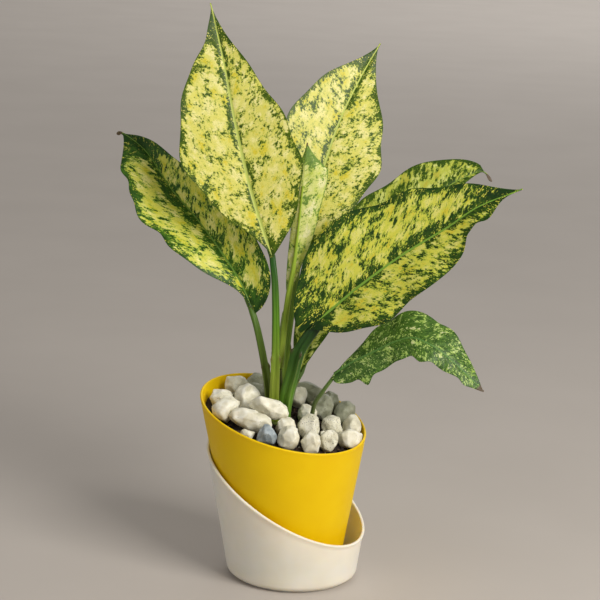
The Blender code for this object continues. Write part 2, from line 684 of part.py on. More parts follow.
def pebbles(standing, blocking):
    """Lays the larger stones, then small ones where the widest gaps between them are."""
    rng = random.Random(PEBBLE_SEED)
    finishes = {tone: finish(tone + "_pebble", colour, 0.3) for tone, colour in STONE_COLOURS.items()}
    first = len(standing)
    for number, stone in enumerate(STONES, 1):
        drop_stone(number, stone, rng, finishes, standing)
    for number in range(len(STONES) + 1, len(STONES) + FILLER_COUNT + 1):
        spot, reach = widest_gap(blocking + standing[first:])
        size = 2 * min(reach - FILLER_ROOM, FILLER_MOST)
        if size < 2 * FILLER_LEAST:
            break
        tone = "grey" if number % 5 == 0 else "white"
        small = Stone(*spot, size, size * 0.9, size * 0.95, rng.uniform(0, 180), tone)
        drop_stone(number, small, rng, finishes, standing)


def main():
    clear_scene()
    outer_pot()
    inner = inner_pot()
    earth = soil()
    cane = stem()
    leaves = [make_leaf(name, leaf) for name, leaf in LEAVES.items()]
    bpy.context.view_layer.update()
    standing = [tree_of(obj) for obj in (inner, earth, cane)]
    low = [[corner for corner in tree_of(obj)[1] if corner.z < STALKS_CLEAR * MM] for obj in leaves]
    pebbles(standing, [standing[2], *((None, corners) for corners in low)])
    print(len(leaves), "leaves,", len(GROUPS["potted_chinese_evergreen"].objects), "objects")


main()
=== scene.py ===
# %% [markdown]
# # A potted chinese evergreen
# A house plant with speckled yellow and green leaves stands in a yellow pot, and that pot stands in a
# lower cream one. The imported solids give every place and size. This script keeps their forms and gives
# them fine surfaces: smooth pots, rounded stones, crumbly soil, and leaves with veins and variegation.

import math
import random
from collections import namedtuple

import bmesh
import bpy
import numpy as np
from mathutils import Matrix, Vector, noise


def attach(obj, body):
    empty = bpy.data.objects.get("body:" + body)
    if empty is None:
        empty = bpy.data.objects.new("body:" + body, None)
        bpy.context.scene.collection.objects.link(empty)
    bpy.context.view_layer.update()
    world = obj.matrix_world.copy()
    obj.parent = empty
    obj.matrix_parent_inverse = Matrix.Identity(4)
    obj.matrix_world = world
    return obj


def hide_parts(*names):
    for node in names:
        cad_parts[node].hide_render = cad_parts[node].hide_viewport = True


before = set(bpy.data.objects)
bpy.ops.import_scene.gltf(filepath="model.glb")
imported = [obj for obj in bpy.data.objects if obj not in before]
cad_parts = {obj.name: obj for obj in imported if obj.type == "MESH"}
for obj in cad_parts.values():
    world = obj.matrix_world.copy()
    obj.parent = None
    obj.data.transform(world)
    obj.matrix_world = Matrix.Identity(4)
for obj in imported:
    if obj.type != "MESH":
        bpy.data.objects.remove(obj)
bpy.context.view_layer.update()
MM = 0.001

# %% [markdown]
# ## Small tools that every piece uses
# A colour is chosen as an sRGB hex value, as a painter would read it off a chart, and Blender wants it
# linear, so one function turns it. Another adds a shader node with its settings and its links. The
# rest put things in the scene, turn worked shapes into meshes, and show a finished piece on the body
# that carries it.

# %% Colour, node and piece helpers


def linear(code):
    """A hex colour such as ECC400 as the linear values that shaders use."""
    parts = [int(code[at:at + 2], 16) / 255 for at in (0, 2, 4)]
    return (*(part / 12.92 if part <= 0.04045 else ((part + 0.055) / 1.055) ** 2.4 for part in parts), 1.0)


def add(material, kind, feeds=None, stops=(), **settings):
    """
    Adds one node. A feed is a plain value, an output, or a node whose first live output is linked.
    The stops are the places and hex colours along a ramp.
    """
    tree = material.node_tree
    node = tree.nodes.new("ShaderNode" + kind)
    for name, value in settings.items():
        setattr(node, name, value)
    for socket, feed in (feeds or {}).items():
        if isinstance(feed, bpy.types.Node):
            feed = next(output for output in feed.outputs if output.enabled)
        if isinstance(feed, bpy.types.NodeSocket):
            tree.links.new(feed, node.inputs[socket])
        else:
            node.inputs[socket].default_value = feed
    for position, _ in stops[2:]:
        node.color_ramp.elements.new(position)
    for number, (position, code) in enumerate(stops):
        node.color_ramp.elements[number].position = position
        node.color_ramp.elements[number].color = linear(code)
    return node


def new_material(name):
    """An empty node material."""
    material = bpy.data.materials.new(name)
    material.use_nodes = True
    material.node_tree.nodes.clear()
    return material


def mottled(name, mottle_mm, detail, stops, roughness, bump=None):
    """A dull surface that one noise colours and, with a bump's strength and height in mm, roughens."""
    material = new_material(name)
    place = add(material, "TexCoord").outputs["Object"]
    speck = add(material, "TexNoise", {"Vector": place, "Scale": 1 / (mottle_mm * MM), "Detail": detail})
    feeds = {"Base Color": add(material, "ValToRGB", {"Fac": speck}, stops=stops), "Roughness": roughness}
    if bump:
        feeds["Normal"] = add(material, "Bump", {
            "Height": speck, "Strength": bump[0], "Distance": bump[1] * MM})
    add(material, "OutputMaterial", {"Surface": add(material, "BsdfPrincipled", feeds)})
    return material


def put(name, data):
    """Puts a mesh, lamp or camera in the scene as an object."""
    thing = bpy.data.objects.new(name, data)
    bpy.context.scene.collection.objects.link(thing)
    return thing


def meshed(shape, name):
    """The mesh of a finished bmesh."""
    mesh = bpy.data.meshes.new(name)
    shape.to_mesh(mesh)
    shape.free()
    return mesh


def applied(body, *tools):
    """The mesh of an object with its modifiers applied; the object and its tools are removed."""
    bpy.context.view_layer.update()
    mesh = bpy.data.meshes.new_from_object(body.evaluated_get(bpy.context.evaluated_depsgraph_get()))
    for used in (body, *tools):
        bpy.data.objects.remove(used, do_unlink=True)
    return mesh


def show(name, mesh, materials, nodes):
    """Puts a piece in the scene on the plant's one body, standing for its CAD nodes, and prints it."""
    piece = put(name, mesh)
    for material in materials:
        mesh.materials.append(material)
    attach(piece, "root")
    if nodes:
        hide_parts(*nodes)
    print(name, "has", len(mesh.polygons), "faces and wears", *[material.name for material in materials])


def smooth(mesh, angle):
    """Smooth shading that stays crisp at edges sharper than the angle, in degrees."""
    mesh.shade_smooth()
    mesh.set_sharp_from_angle(angle=math.radians(angle))


# %% [markdown]
# ## Camera
# The photograph was taken from a little above, with a long lens, and the camera was turned slightly
# about its own axis. The distance, height and turn were found by laying the pots' rims over it.

# %% Camera
LENS_MM = 118.83
SENSOR_MM = 36.0
LOOK_DOWN = 13.1
CAMERA_TURN = 2.5
CAMERA_DISTANCE = 1400.0
AIM = (-2.4, 0.0, 203.2)

camera_data = bpy.data.cameras.new("camera")
camera_data.sensor_width = SENSOR_MM
camera_data.lens = LENS_MM
camera = put("camera", camera_data)
down = math.radians(LOOK_DOWN)
forward = Vector((0.0, math.cos(down), -math.sin(down)))
camera.matrix_world = (
    Matrix.Translation((Vector(AIM) - forward * CAMERA_DISTANCE) * MM)
    @ forward.to_track_quat("-Z", "Y").to_matrix().to_4x4()
    @ Matrix.Rotation(math.radians(CAMERA_TURN), 4, "Z")
)
bpy.context.scene.camera = camera
print("camera at", [round(value, 3) for value in camera.location])

# %% [markdown]
# ## Floor and light
# The plant stands on a plain pale floor. One large soft light from the right and in front models the
# pots and leaves, and a weak one from the left keeps the shaded side readable. A wide one high over
# the floor behind lifts the background. The even grey world stands for the walls of a room. Light
# through a large panel gives shadows with soft edges.

# %% Floor
FLOOR_HALF = 15.0
CORNERS = ((-1, -1), (1, -1), (1, 1), (-1, 1))
FLOOR_MOTTLE_MM = 1000 / 6

floor_paint = mottled("matte_floor_paint", FLOOR_MOTTLE_MM, 3.0, ((0.3, "BDB5AD"), (0.7, "C1B9B1")), 0.8)
floor_mesh = bpy.data.meshes.new("floor")
floor_mesh.from_pydata([(x * FLOOR_HALF, y * FLOOR_HALF, 0.0) for x, y in CORNERS], [], [(0, 1, 2, 3)])
floor_mesh.materials.append(floor_paint)
floor = put("floor", floor_mesh)
print("floor:", 2 * FLOOR_HALF, "m square")

# %% Lights
Panel = namedtuple("Panel", "place aimed size watts colour")
PANELS = {
    "key": Panel((1.05, -1.1, 1.1), True, 0.9, 29.0, "FFFCF6"),
    "fill": Panel((-1.6, -1.5, 1.2), True, 1.6, 4.5, "F2F5FF"),
    "far_floor": Panel((1.8, 5.4, 3.0), False, 4.0, 95.0, "FFFFFF"),
}
WORLD_STRENGTH = 0.40

for name, panel in PANELS.items():
    light = bpy.data.lights.new(name, "AREA")
    light.energy = panel.watts
    light.size = panel.size
    light.color = linear(panel.colour)[:3]
    lamp = put(name, light)
    lamp.location = panel.place
    if panel.aimed:
        lamp.rotation_euler = (Vector(panel.place) - Vector(AIM) * MM).to_track_quat("Z", "Y").to_euler()

room = bpy.data.worlds.new("room")
room.use_nodes = True
room.node_tree.nodes["Background"].inputs["Color"].default_value = linear("E9E6E2")
room.node_tree.nodes["Background"].inputs["Strength"].default_value = WORLD_STRENGTH
bpy.context.scene.world = room
bpy.context.scene.view_settings.view_transform = "Standard"
print(len(PANELS), "light panels")

# %% [markdown]
# ## The two pots
# Each pot is injection-moulded: a thin wall with a round bead at its rim, on a cone that leans a
# little and is cut by a slanted plane. A turned profile gives an upright cup with true round edges,
# and sliding its wall up or down to the slanted plane gives the cut rim and keeps the cone. The
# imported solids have 56 sides, and this copy has three times as many, so its highlights run smoothly.

# %% Turned shapes
POT_SIDES = 168


def arc(centre_x, centre_z, radius, start, end, steps):
    """Points along part of a circle in a profile, in degrees."""
    turns = np.radians(np.linspace(start, end, steps + 1))
    return [(centre_x + radius * math.cos(turn), centre_z + radius * math.sin(turn)) for turn in turns]


def turned(profile, sides):
    """A closed turned mesh from (radius, height) points whose first and last are on the axis."""
    shape = bmesh.new()
    rings = []
    for radius, height in profile[1:-1]:
        rings.append([shape.verts.new((radius * math.cos(turn), radius * math.sin(turn), height))
                      for turn in np.linspace(0, 2 * math.pi, sides, endpoint=False)])
    for ring, lower in zip(rings, rings[1:]):
        for side in range(sides):
            shape.faces.new((ring[side - 1], ring[side], lower[side], lower[side - 1]))
    for ring, (_, height) in ((rings[0], profile[0]), (rings[-1], profile[-1])):
        middle = shape.verts.new((0.0, 0.0, height))
        for side in range(sides):
            shape.faces.new((ring[side - 1], ring[side], middle))
    bmesh.ops.recalc_face_normals(shape, faces=shape.faces)
    return meshed(shape, "turned")


# %% Cup profile and slanted rim
Cup = namedtuple("Cup", "base radius flare lean centre rim wall floor bead corner foot")
CORNER_TOP = 2.0
WALL_BANDS, CORNER_STEPS, BEAD_STEPS = 16, 8, 14
CRISP_ANGLE = 40


def cup_profile(cup):
    """Inside floor, inside wall, rim bead, outside wall, round corner, foot ring, underside."""
    top = cup.rim[0]
    upper = cup.base + cup.corner * CORNER_TOP

    def outside(height):
        return cup.radius + cup.flare * height

    in_corner = outside(cup.floor) - cup.wall - cup.corner
    out_corner = outside(cup.base + cup.corner) - cup.corner
    bead_middle = outside(top - cup.bead) - cup.wall + cup.bead
    heights = np.linspace(upper, top - cup.bead, WALL_BANDS)
    points = [(0.0, cup.floor), (in_corner, cup.floor)]
    points += arc(in_corner, cup.floor + cup.corner, cup.corner, -80, 0, CORNER_STEPS)
    points += [(outside(height) - cup.wall, height) for height in heights]
    points += arc(bead_middle, top - cup.bead, cup.bead, 180, -30, BEAD_STEPS)[1:]
    points += [(outside(height), height) for height in heights[-2::-1]]
    points += arc(out_corner, cup.base + cup.corner, cup.corner, 0, -80, CORNER_STEPS)
    points += [(outside(cup.base) - cup.corner, cup.base)]
    if cup.foot:
        points += [(cup.foot, cup.base), (cup.foot, 0.3), (cup.foot - 0.3, 0.0)]
    return points + [(0.0, points[-1][1])]


def slant(mesh, cup):
    """Slides the wall to the slanted rim, keeping the cone, the corner and the bead."""
    level, along_x, along_y = cup.rim
    low = cup.base + cup.corner * CORNER_TOP
    high = level - cup.bead
    for corner in mesh.vertices:
        x, y, z = corner.co
        turn, out = math.atan2(y, x), math.hypot(x, y)
        away = Vector((math.cos(turn), math.sin(turn)))
        start = Vector(cup.centre) + away * cup.radius
        slope = Vector(cup.lean) + away * cup.flare
        rim = (level + along_x * start.x + along_y * start.y) / (1 - along_x * slope.x - along_y * slope.y)
        height = z
        if z >= high:
            height = rim + z - level
        elif z > low:
            height = low + (z - low) / (high - low) * (rim - cup.bead - low)
        out += cup.flare * (height - z)
        at = Vector(cup.centre) + Vector(cup.lean) * height + away * out
        corner.co = (at.x, at.y, height)


# %% Outer pot
OUTER = Cup(base=1.3, radius=46.5, flare=0.160, lean=(-0.033, 0.0), centre=(0.0, 0.0),
            rim=(60.9, -0.500, 0.222), wall=1.4, floor=2.6, bead=1.1, corner=5.0, foot=42.4)
INNER_BASE = 6.0
INNER_LEAN = (-0.0362, 0.007)
INNER_FLARE = 0.187
INNER_CENTRE = (-4.5, 0.0)
INNER = Cup(base=INNER_BASE, radius=38.6 - INNER_FLARE * INNER_BASE, flare=INNER_FLARE, lean=INNER_LEAN,
            centre=(INNER_CENTRE[0] - INNER_LEAN[0] * INNER_BASE, -INNER_LEAN[1] * INNER_BASE),
            rim=(117.1, -0.200, 0.149), wall=1.8, floor=8.4, bead=0.9, corner=3.0, foot=None)

outer_mesh = turned(cup_profile(OUTER), POT_SIDES)
slant(outer_mesh, OUTER)
outer_mesh.transform(Matrix.Scale(MM, 4))
smooth(outer_mesh, CRISP_ANGLE)
print("outer pot:", len(outer_mesh.polygons), "faces")

# %% [markdown]
# ## Feet and drain holes
# The inner pot stands on four short feet and lets water out through five holes. A Boolean joins the
# feet and cuts the holes exactly, so the moulding stays one closed shape.

# %% Inner pot
FOOT_RADIUS, FOOT_RING, FOOT_COUNT, FOOT_LOW = 5.0, 27.0, 4, 2.9
DRAIN_RADIUS, DRAIN_RING, DRAIN_COUNT = 3.0, 16.0, 5


def posts(count, ring, radius, low, high, turn):
    """One mesh of upright posts on a ring about the inner pot's middle."""
    shape = bmesh.new()
    for angle in np.linspace(0, 2 * math.pi, count, endpoint=False) + turn:
        middle = Vector((INNER_CENTRE[0] + ring * math.cos(angle), ring * math.sin(angle), (low + high) / 2))
        bmesh.ops.create_cone(shape, cap_ends=True, segments=32, radius1=radius, radius2=radius,
                              depth=high - low, matrix=Matrix.Translation(middle))
    return meshed(shape, "posts")


def carved(mesh, changes):
    """The mesh after exact Booleans with other meshes."""
    body = put("body", mesh)
    tools = [put("tool", tool_mesh) for _, tool_mesh in changes]
    for (operation, _), tool in zip(changes, tools):
        change = body.modifiers.new("change", "BOOLEAN")
        change.operation = operation
        change.solver = "EXACT"
        change.object = tool
    return applied(body, *tools)


cup_mesh = turned(cup_profile(INNER), POT_SIDES)
slant(cup_mesh, INNER)
inner_mesh = carved(cup_mesh, [
    ("UNION", posts(FOOT_COUNT, FOOT_RING, FOOT_RADIUS, FOOT_LOW, INNER.base + 1, math.pi / 4)),
    ("DIFFERENCE", posts(DRAIN_COUNT, DRAIN_RING, DRAIN_RADIUS, INNER.base - 1, INNER.floor + 1, 0.0)),
])
inner_mesh.transform(Matrix.Scale(MM, 4))
smooth(inner_mesh, CRISP_ANGLE)
print("inner pot:", len(inner_mesh.polygons), "faces")

# %% [markdown]
# ## Pot plastic
# Both pots are polypropylene, coloured in the mass and injection-moulded. The tool's fine spark
# texture leaves a satin skin: the highlight is broad and soft, the colour is even, and only a little
# cloudiness from the flow of the melt and a few dull rub marks break it. Grains of about 0.15 mm are
# too fine to show, so they are drawn 0.7 mm wide.

# %% Polypropylene
GRAIN_MM, CLOUD_MM, RUB_MM = 0.7, 26.0, 9.0
DUST_HIGH_MM, DUST_MOST = 9.0, 0.22
PP_IOR = 1.49


def polypropylene(name, deep, bright, dust, roughness, glow):
    """Satin moulded plastic in one colour, with a breath of dust low on its wall."""
    material = new_material(name)
    place = add(material, "TexCoord").outputs["Object"]
    cloud, rub, grain = [
        add(material, "TexNoise", {"Vector": place, "Scale": 1 / (size * MM), "Detail": detail})
        for size, detail in ((CLOUD_MM, 2.0), (RUB_MM, 5.0), (GRAIN_MM, 1.0))]
    colour = add(material, "ValToRGB", {"Fac": cloud}, stops=((0.35, deep), (0.65, bright)))
    height = add(material, "SeparateXYZ", {"Vector": place}).outputs["Z"]
    low = add(material, "MapRange", {
        "Value": height, "From Min": DUST_HIGH_MM * MM, "From Max": 0.0, "To Max": DUST_MOST})
    dusty = add(material, "Mix", {"Factor": low, "A": colour, "B": linear(dust)}, data_type="RGBA")
    dull = add(material, "MapRange", {"Value": rub, "From Min": 0.35, "From Max": 0.7,
                                      "To Min": roughness - 0.04, "To Max": roughness + 0.07})
    bump = add(material, "Bump", {"Height": grain, "Strength": 0.12, "Distance": 0.05 * MM})
    shader = add(material, "BsdfPrincipled", {
        "Base Color": dusty, "Roughness": dull, "IOR": PP_IOR, "Specular IOR Level": 0.2, "Normal": bump,
        "Subsurface Weight": glow, "Subsurface Radius": (1.0, 0.85, 0.6), "Subsurface Scale": 3.0 * MM})
    add(material, "OutputMaterial", {"Surface": shader})
    return material


cream_plastic = polypropylene("cream_polypropylene", "E8E1D0", "EEE7D8", "B9AC9A", 0.48, 0.9)
yellow_plastic = polypropylene("yellow_polypropylene", "ECC200", "EFC700", "C9A93A", 0.5, 0.2)
show("outer_pot_moulding", outer_mesh, [cream_plastic], ["outer_pot"])
show("inner_pot_moulding", inner_mesh, [yellow_plastic], ["inner_pot"])

# %% [markdown]
# ## Potting soil
# Peat and bark fill the inner pot to just under its slanted rim. A turned plug follows the solid's
# form, a fine top surface is pushed up and down by noise for the crumb structure, and loose crumbs of
# bark, fibre and white perlite lie on it where it shows between the stones.

# %% Soil plug
SOIL_BELOW_RIM = 8.7
SOIL_MOUND = 3.0
SOIL_LUMP = 0.8
MOUND_MIDDLE = -8.4
MOUND_SPREAD = 52.0
SOIL_LEVEL = 100.0
SOIL_HEEL = 8.0
SOIL_RINGS, SOIL_SIDES = 44, 120
CRUMB_MM, CRUMB_HIGH = 3.0, 0.7
STEM_XY = (-14.5, 1.0)
STEM_SEAT = 11.0
FIT_GAP = 0.3
SOIL_FLOOR = INNER.floor + FIT_GAP
rng = random.Random(11)


def soil_height(x, y):
    """The soil's top: below the slanted rim near the wall and higher round the stem."""
    level, along_x, along_y = INNER.rim
    spread = math.hypot(x - MOUND_MIDDLE, y) / MOUND_SPREAD
    lump = SOIL_LUMP * math.sin(x * 0.31 + 1.0) * math.sin(y * 0.27 + x * 0.08)
    mound = SOIL_MOUND * max(0.0, 1.0 - spread * spread)
    return level + along_x * x + along_y * y - SOIL_BELOW_RIM + mound + lump


def inside(height):
    """The soil's radius at a height: the inner pot's bore less a fine gap."""
    return INNER.radius + INNER.flare * height - INNER.wall - FIT_GAP


heel = SOIL_FLOOR + SOIL_HEEL
soil_profile = [(share * inside(SOIL_LEVEL), SOIL_LEVEL) for share in np.linspace(0, 1, SOIL_RINGS)]
soil_profile += [(inside(SOIL_LEVEL), SOIL_LEVEL - 3.0), (inside(heel), heel),
                 (inside(SOIL_FLOOR) - SOIL_HEEL / 2, SOIL_FLOOR), (0.0, SOIL_FLOOR)]
soil_mesh = turned(soil_profile, SOIL_SIDES)
for corner in soil_mesh.vertices:
    x, y, z = corner.co
    height = z
    steps = 3 if z > heel + 1 else 1
    for _ in range(steps):
        widen = 1.0 + INNER.flare * (height - z) / inside(SOIL_LEVEL)
        at = (INNER.centre[0] + INNER.lean[0] * height + x * widen,
              INNER.centre[1] + INNER.lean[1] * height + y * widen)
        height = soil_height(*at) + z - SOIL_LEVEL if steps > 1 else z
    if z > SOIL_LEVEL - 1 and math.hypot(x, y) < inside(SOIL_LEVEL) - 0.5:
        height += CRUMB_HIGH * noise.fractal(Vector((*at, 0)) / CRUMB_MM, 0.9, 2.1, 4)
    corner.co = (*at, height)
soil_mesh.transform(Matrix.Scale(MM, 4))
soil_mesh.shade_smooth()
print("soil:", len(soil_mesh.polygons), "faces")

# %% Crumbs of bark, fibre and perlite
CRUMB_COUNT = 620
CRUMB_REACH, CRUMB_Y = 49.5, 0.7
CRUMB_ROUGH = 0.35
PERLITE_SHARE, PERLITE_MM, BARK_MM = 0.07, (0.6, 1.2), (0.6, 1.9)


def lump(shape, middle, size, tone, tones):
    """Adds one uneven lump to a bmesh and writes its tone."""
    turn = Matrix.Rotation(rng.uniform(0, 6.28), 3, Vector((rng.random(), rng.random(), rng.random() + 0.1)))
    made = bmesh.ops.create_icosphere(shape, subdivisions=1, radius=1.0)["verts"]
    for corner in made:
        rough = 1.0 + CRUMB_ROUGH * (rng.random() - 0.5)
        grown = [part * axis * rough for part, axis in zip(corner.co, size)]
        corner.co = Vector(middle) + turn @ Vector(grown)
        corner[tones] = tone


crumb_shape = bmesh.new()
tones = crumb_shape.verts.layers.float.new("tone")
for _ in range(CRUMB_COUNT):
    angle = rng.uniform(0, 2 * math.pi)
    reach = math.sqrt(rng.random()) * CRUMB_REACH
    x = MOUND_MIDDLE + reach * math.cos(angle)
    y = CRUMB_Y + reach * math.sin(angle)
    if math.hypot(x - STEM_XY[0], y - STEM_XY[1]) < STEM_SEAT:
        continue
    perlite = rng.random() < PERLITE_SHARE
    size = rng.uniform(*PERLITE_MM) if perlite else rng.uniform(*BARK_MM)
    if perlite:
        stretch, tone = (size, size * 0.85, size * 0.8), 1.0
    else:
        stretch, tone = (size * rng.uniform(1, 1.9), size * 0.8, size * 0.5), rng.uniform(0, 0.7)
    lump(crumb_shape, (x, y, soil_height(x, y) + size * 0.3), stretch, tone, tones)
crumb_mesh = meshed(crumb_shape, "soil_crumbs")
crumb_mesh.transform(Matrix.Scale(MM, 4))
print("crumbs:", len(crumb_mesh.polygons), "faces")

# %% [markdown]
# ## Soil's looks
# Moist peat is nearly black and swallows light, so its roughness is close to 1. Bark crumbs are
# browner and perlite is white. Each crumb carries its own tone in the mesh, and one ramp reads it.

# %% Peat and bark
PEAT_GRAIN_MM = 1.1

peat = mottled("moist_peat", PEAT_GRAIN_MM, 4.0,
               ((0.3, "17100B"), (0.55, "2C1F16"), (0.8, "4A3626")), 0.95, bump=(0.8, 0.6))

bark = new_material("bark_and_perlite")
tone = add(bark, "Attribute", attribute_name="tone").outputs["Fac"]
crumb_colour = add(bark, "ValToRGB", {"Fac": tone}, stops=(
    (0.0, "1C130D"), (0.35, "35241A"), (0.72, "54402F"), (0.95, "CFC8BA")))
bark_shader = add(bark, "BsdfPrincipled", {"Base Color": crumb_colour, "Roughness": 0.9})
add(bark, "OutputMaterial", {"Surface": bark_shader})
show("soil_plug", soil_mesh, [peat], ["soil"])
show("soil_crumbs", crumb_mesh, [bark], [])

# %% [markdown]
# ## Top dressing
# The stones are tumbled white marble and quartz with a few grey ones. Each solid already has its size,
# place and worn flats, so its mesh is copied, its edges are creased a little where they turn sharply,
# and a Subdivision Surface rounds it as tumbling does. A cell pattern then chips broad shallow faces
# off it, and noise gives it dents and pits.

# %% Stone shapes
STONE_CREASE_ANGLE = 22.0
STONE_CREASE = 0.72
STONE_LEVELS = 3
STONE_GROW = 1.035
CHIP_MM, CHIP_DEEP, CHIP_EVEN = 6.5, 1.5, 0.42
DENT_MM, DENT_DEEP = 3.6, 0.25
PIT_MM, PIT_DEEP = 1.1, 0.09


def tumbled(node):
    """A fine rounded copy of a stone's solid."""
    shape = bmesh.new()
    shape.from_mesh(node.data)
    bmesh.ops.remove_doubles(shape, verts=shape.verts, dist=0.00001)
    creases = shape.edges.layers.float.new("crease_edge")
    for edge in shape.edges:
        if edge.calc_face_angle(0.0) > math.radians(STONE_CREASE_ANGLE):
            edge[creases] = STONE_CREASE
    body = put("rough", meshed(shape, "rough"))
    rounding = body.modifiers.new("rounding", "SUBSURF")
    rounding.levels = STONE_LEVELS
    rounding.render_levels = STONE_LEVELS
    mesh = applied(body)
    middle = sum((corner.co for corner in mesh.vertices), Vector()) / len(mesh.vertices)
    normals = [corner.normal.copy() for corner in mesh.vertices]
    for corner, normal in zip(mesh.vertices, normals):
        at = corner.co / MM
        chip = CHIP_DEEP * (noise.voronoi(at / CHIP_MM)[0][0] - CHIP_EVEN)
        dent = chip + DENT_DEEP * noise.noise(at / DENT_MM) + PIT_DEEP * noise.noise(at / PIT_MM)
        corner.co = middle + (corner.co - middle) * STONE_GROW + normal * dent * MM
    mesh.shade_smooth()
    return mesh


# %% [markdown]
# ## Stone's looks
# Marble and quartz let light in a little way, so shadows on them stay soft and edges glow. Tumbling
# leaves a fine polish, dull where it is scratched. Warm and cool clouds run through each stone, with
# thin dark veins, and a few carry black specks. IOR is that of calcite.

# %% Marble and grey stone
CALCITE_IOR = 1.56
STONE_CLOUD_MM = 7.0
VEIN_MM = 9.0
SPECK_MM = 0.9


def tumbled_stone(name, shade, body, light, vein, speck_colour, specks):
    """A polished stone in three body colours, with veins and specks."""
    material = new_material(name)
    place = add(material, "TexCoord").outputs["Object"]
    cloud, streak, dots = [
        add(material, "TexNoise", {"Vector": place, "Scale": 1 / (size * MM), "Detail": detail,
                                   "Distortion": bend})
        for size, detail, bend in ((STONE_CLOUD_MM, 4.0, 0.6), (VEIN_MM, 6.0, 1.8), (SPECK_MM, 2.0, 0.0))]
    colour = add(material, "ValToRGB", {"Fac": cloud}, stops=((0.3, shade), (0.5, body), (0.68, light)))
    line = add(material, "ValToRGB", {"Fac": streak}, stops=(
        (0.485, "000000"), (0.5, "6A6A6A"), (0.515, "000000")))
    dotted = add(material, "MapRange", {
        "Value": dots, "From Min": specks, "From Max": specks + 0.05, "To Max": 0.75})
    for cover, paint in ((line, vein), (dotted, speck_colour)):
        colour = add(material, "Mix", {"Factor": cover, "A": colour, "B": linear(paint)}, data_type="RGBA")
    polish = add(material, "MapRange", {
        "Value": cloud, "From Min": 0.3, "From Max": 0.7, "To Min": 0.45, "To Max": 0.62})
    scratch = add(material, "Bump", {"Height": dots, "Strength": 0.25, "Distance": 0.08 * MM})
    shader = add(material, "BsdfPrincipled", {
        "Base Color": colour, "Roughness": polish, "IOR": CALCITE_IOR, "Subsurface Weight": 0.12,
        "Subsurface Radius": (1.0, 0.9, 0.75), "Subsurface Scale": 1.2 * MM, "Normal": scratch})
    add(material, "OutputMaterial", {"Surface": shader})
    return material


marble = tumbled_stone("white_marble", "CEC8AE", "E6E1CA", "F4F1E2", "A2968A", "4A4238", 0.70)
speckled = tumbled_stone("speckled_marble", "C2BCA4", "DEDAC2", "ECE8D8", "8A8073", "2F2A25", 0.61)
grey_stone = tumbled_stone("grey_limestone", "84866E", "A2A48C", "B8BAA4", "72766A", "3A3B37", 0.67)
blue_stone = tumbled_stone("blue_grey_slate", "76828A", "94A0A6", "B4BEC2", "5C676D", "3A4146", 0.68)

SPECKLED = ("pebble_09", "pebble_04", "pebble_11")
BLUE = ("pebble_01",)
for name in sorted(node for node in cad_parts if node.startswith("pebble")):
    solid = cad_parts[name]
    grey = solid.data.materials[0].name.startswith("grey")
    finish = blue_stone if name in BLUE else speckled if name in SPECKLED else grey_stone if grey else marble
    show(name + "_tumbled", tumbled(solid), [finish], [name])

# %% [markdown]
# ## Stem
# The short cane is the plant's trunk. Old leaves left ring scars on it, and its slim shoot carries the
# stalks. It is turned like the pots, with a rounded lip at each scar.

# %% Stem shape and skin
CANE_RADIUS, CANE_SLIM = 11.2, 3.2
CANE_LOW, CANE_TOP, CANE_TIP = 91.3, 115.0, 152.0
CANE_SIDES, CANE_CRISP = 64, 50
SCAR_STEP, SCAR_DEPTH = 7.5, 1.0
CANE_MOTTLE_MM = 4

cane_profile = [(0.0, CANE_TIP), (CANE_SLIM * 0.4, CANE_TIP - 0.6), (CANE_SLIM * 0.8, CANE_TIP - 12.0),
                (CANE_SLIM, CANE_TOP), (CANE_RADIUS - SCAR_DEPTH - 0.6, CANE_TOP)]
for top in (CANE_TOP, CANE_TOP - SCAR_STEP):
    cane_profile += [(CANE_RADIUS - 0.4, top - 0.4), (CANE_RADIUS, top - SCAR_DEPTH),
                     (CANE_RADIUS - 0.5, top - 2.4), (CANE_RADIUS - SCAR_DEPTH, top - SCAR_STEP + 0.9)]
cane_profile += [(CANE_RADIUS - SCAR_DEPTH, CANE_LOW), (0.0, CANE_LOW)]
cane_mesh = turned(cane_profile, CANE_SIDES)
cane_mesh.transform(Matrix.Translation((*STEM_XY, 0.0)))
cane_mesh.transform(Matrix.Scale(MM, 4))
smooth(cane_mesh, CANE_CRISP)

cane_skin = mottled("cane_skin", CANE_MOTTLE_MM, 4.0,
                    ((0.3, "4C5A22"), (0.6, "74803A"), (0.8, "8C7A4C")), 0.6, bump=(0.4, 0.3))
show("stem_cane", cane_mesh, [cane_skin], ["stem"])

# %% [markdown]
# ## How a leaf is shaped
# A leaf is a curved midrib with a blade on each side. The blade's half width follows a smooth rise and
# fall along the midrib, its edge ripples, and each half may be folded up along the rib. The packed
# leaf has a few dozen rows; this one has 176, so that it can also carry a sunk midrib, pillows between
# the side veins and a thin edge. The stalk runs on under the blade as its rib. Every point also
# stores where it is on the leaf in millimetres, and the colours are painted by that.

# %% Leaf data
Side = namedtuple("Side", "width widest taper lift lobe bumps", defaults=[()])
Tip = namedtuple("Tip", "end draw sharp knob")
Flap = namedtuple("Flap", "turn wide reach start end")
PLAIN_TIP = Tip(1.0, 0.05, 0.0, 0.0)
NO_FLAP = Flap(0, 1, 0.0, 0.0, 1.0)
Leaf = namedtuple("Leaf", "rib faces left right ruffle stalk radii roll tip sheath flap",
                  defaults=[0, PLAIN_TIP, 0.0, NO_FLAP])


def ring_foot(angle, radius):
    """The upright start of a stalk that stands on the cane's shoulder, against the slim shoot."""
    reach = CANE_SLIM + FIT_GAP + radius
    x = STEM_XY[0] + reach * math.cos(math.radians(angle))
    y = STEM_XY[1] + reach * math.sin(math.radians(angle))
    return (x, y, CANE_TOP + FIT_GAP), (x, y, CANE_TOP + 6.0)


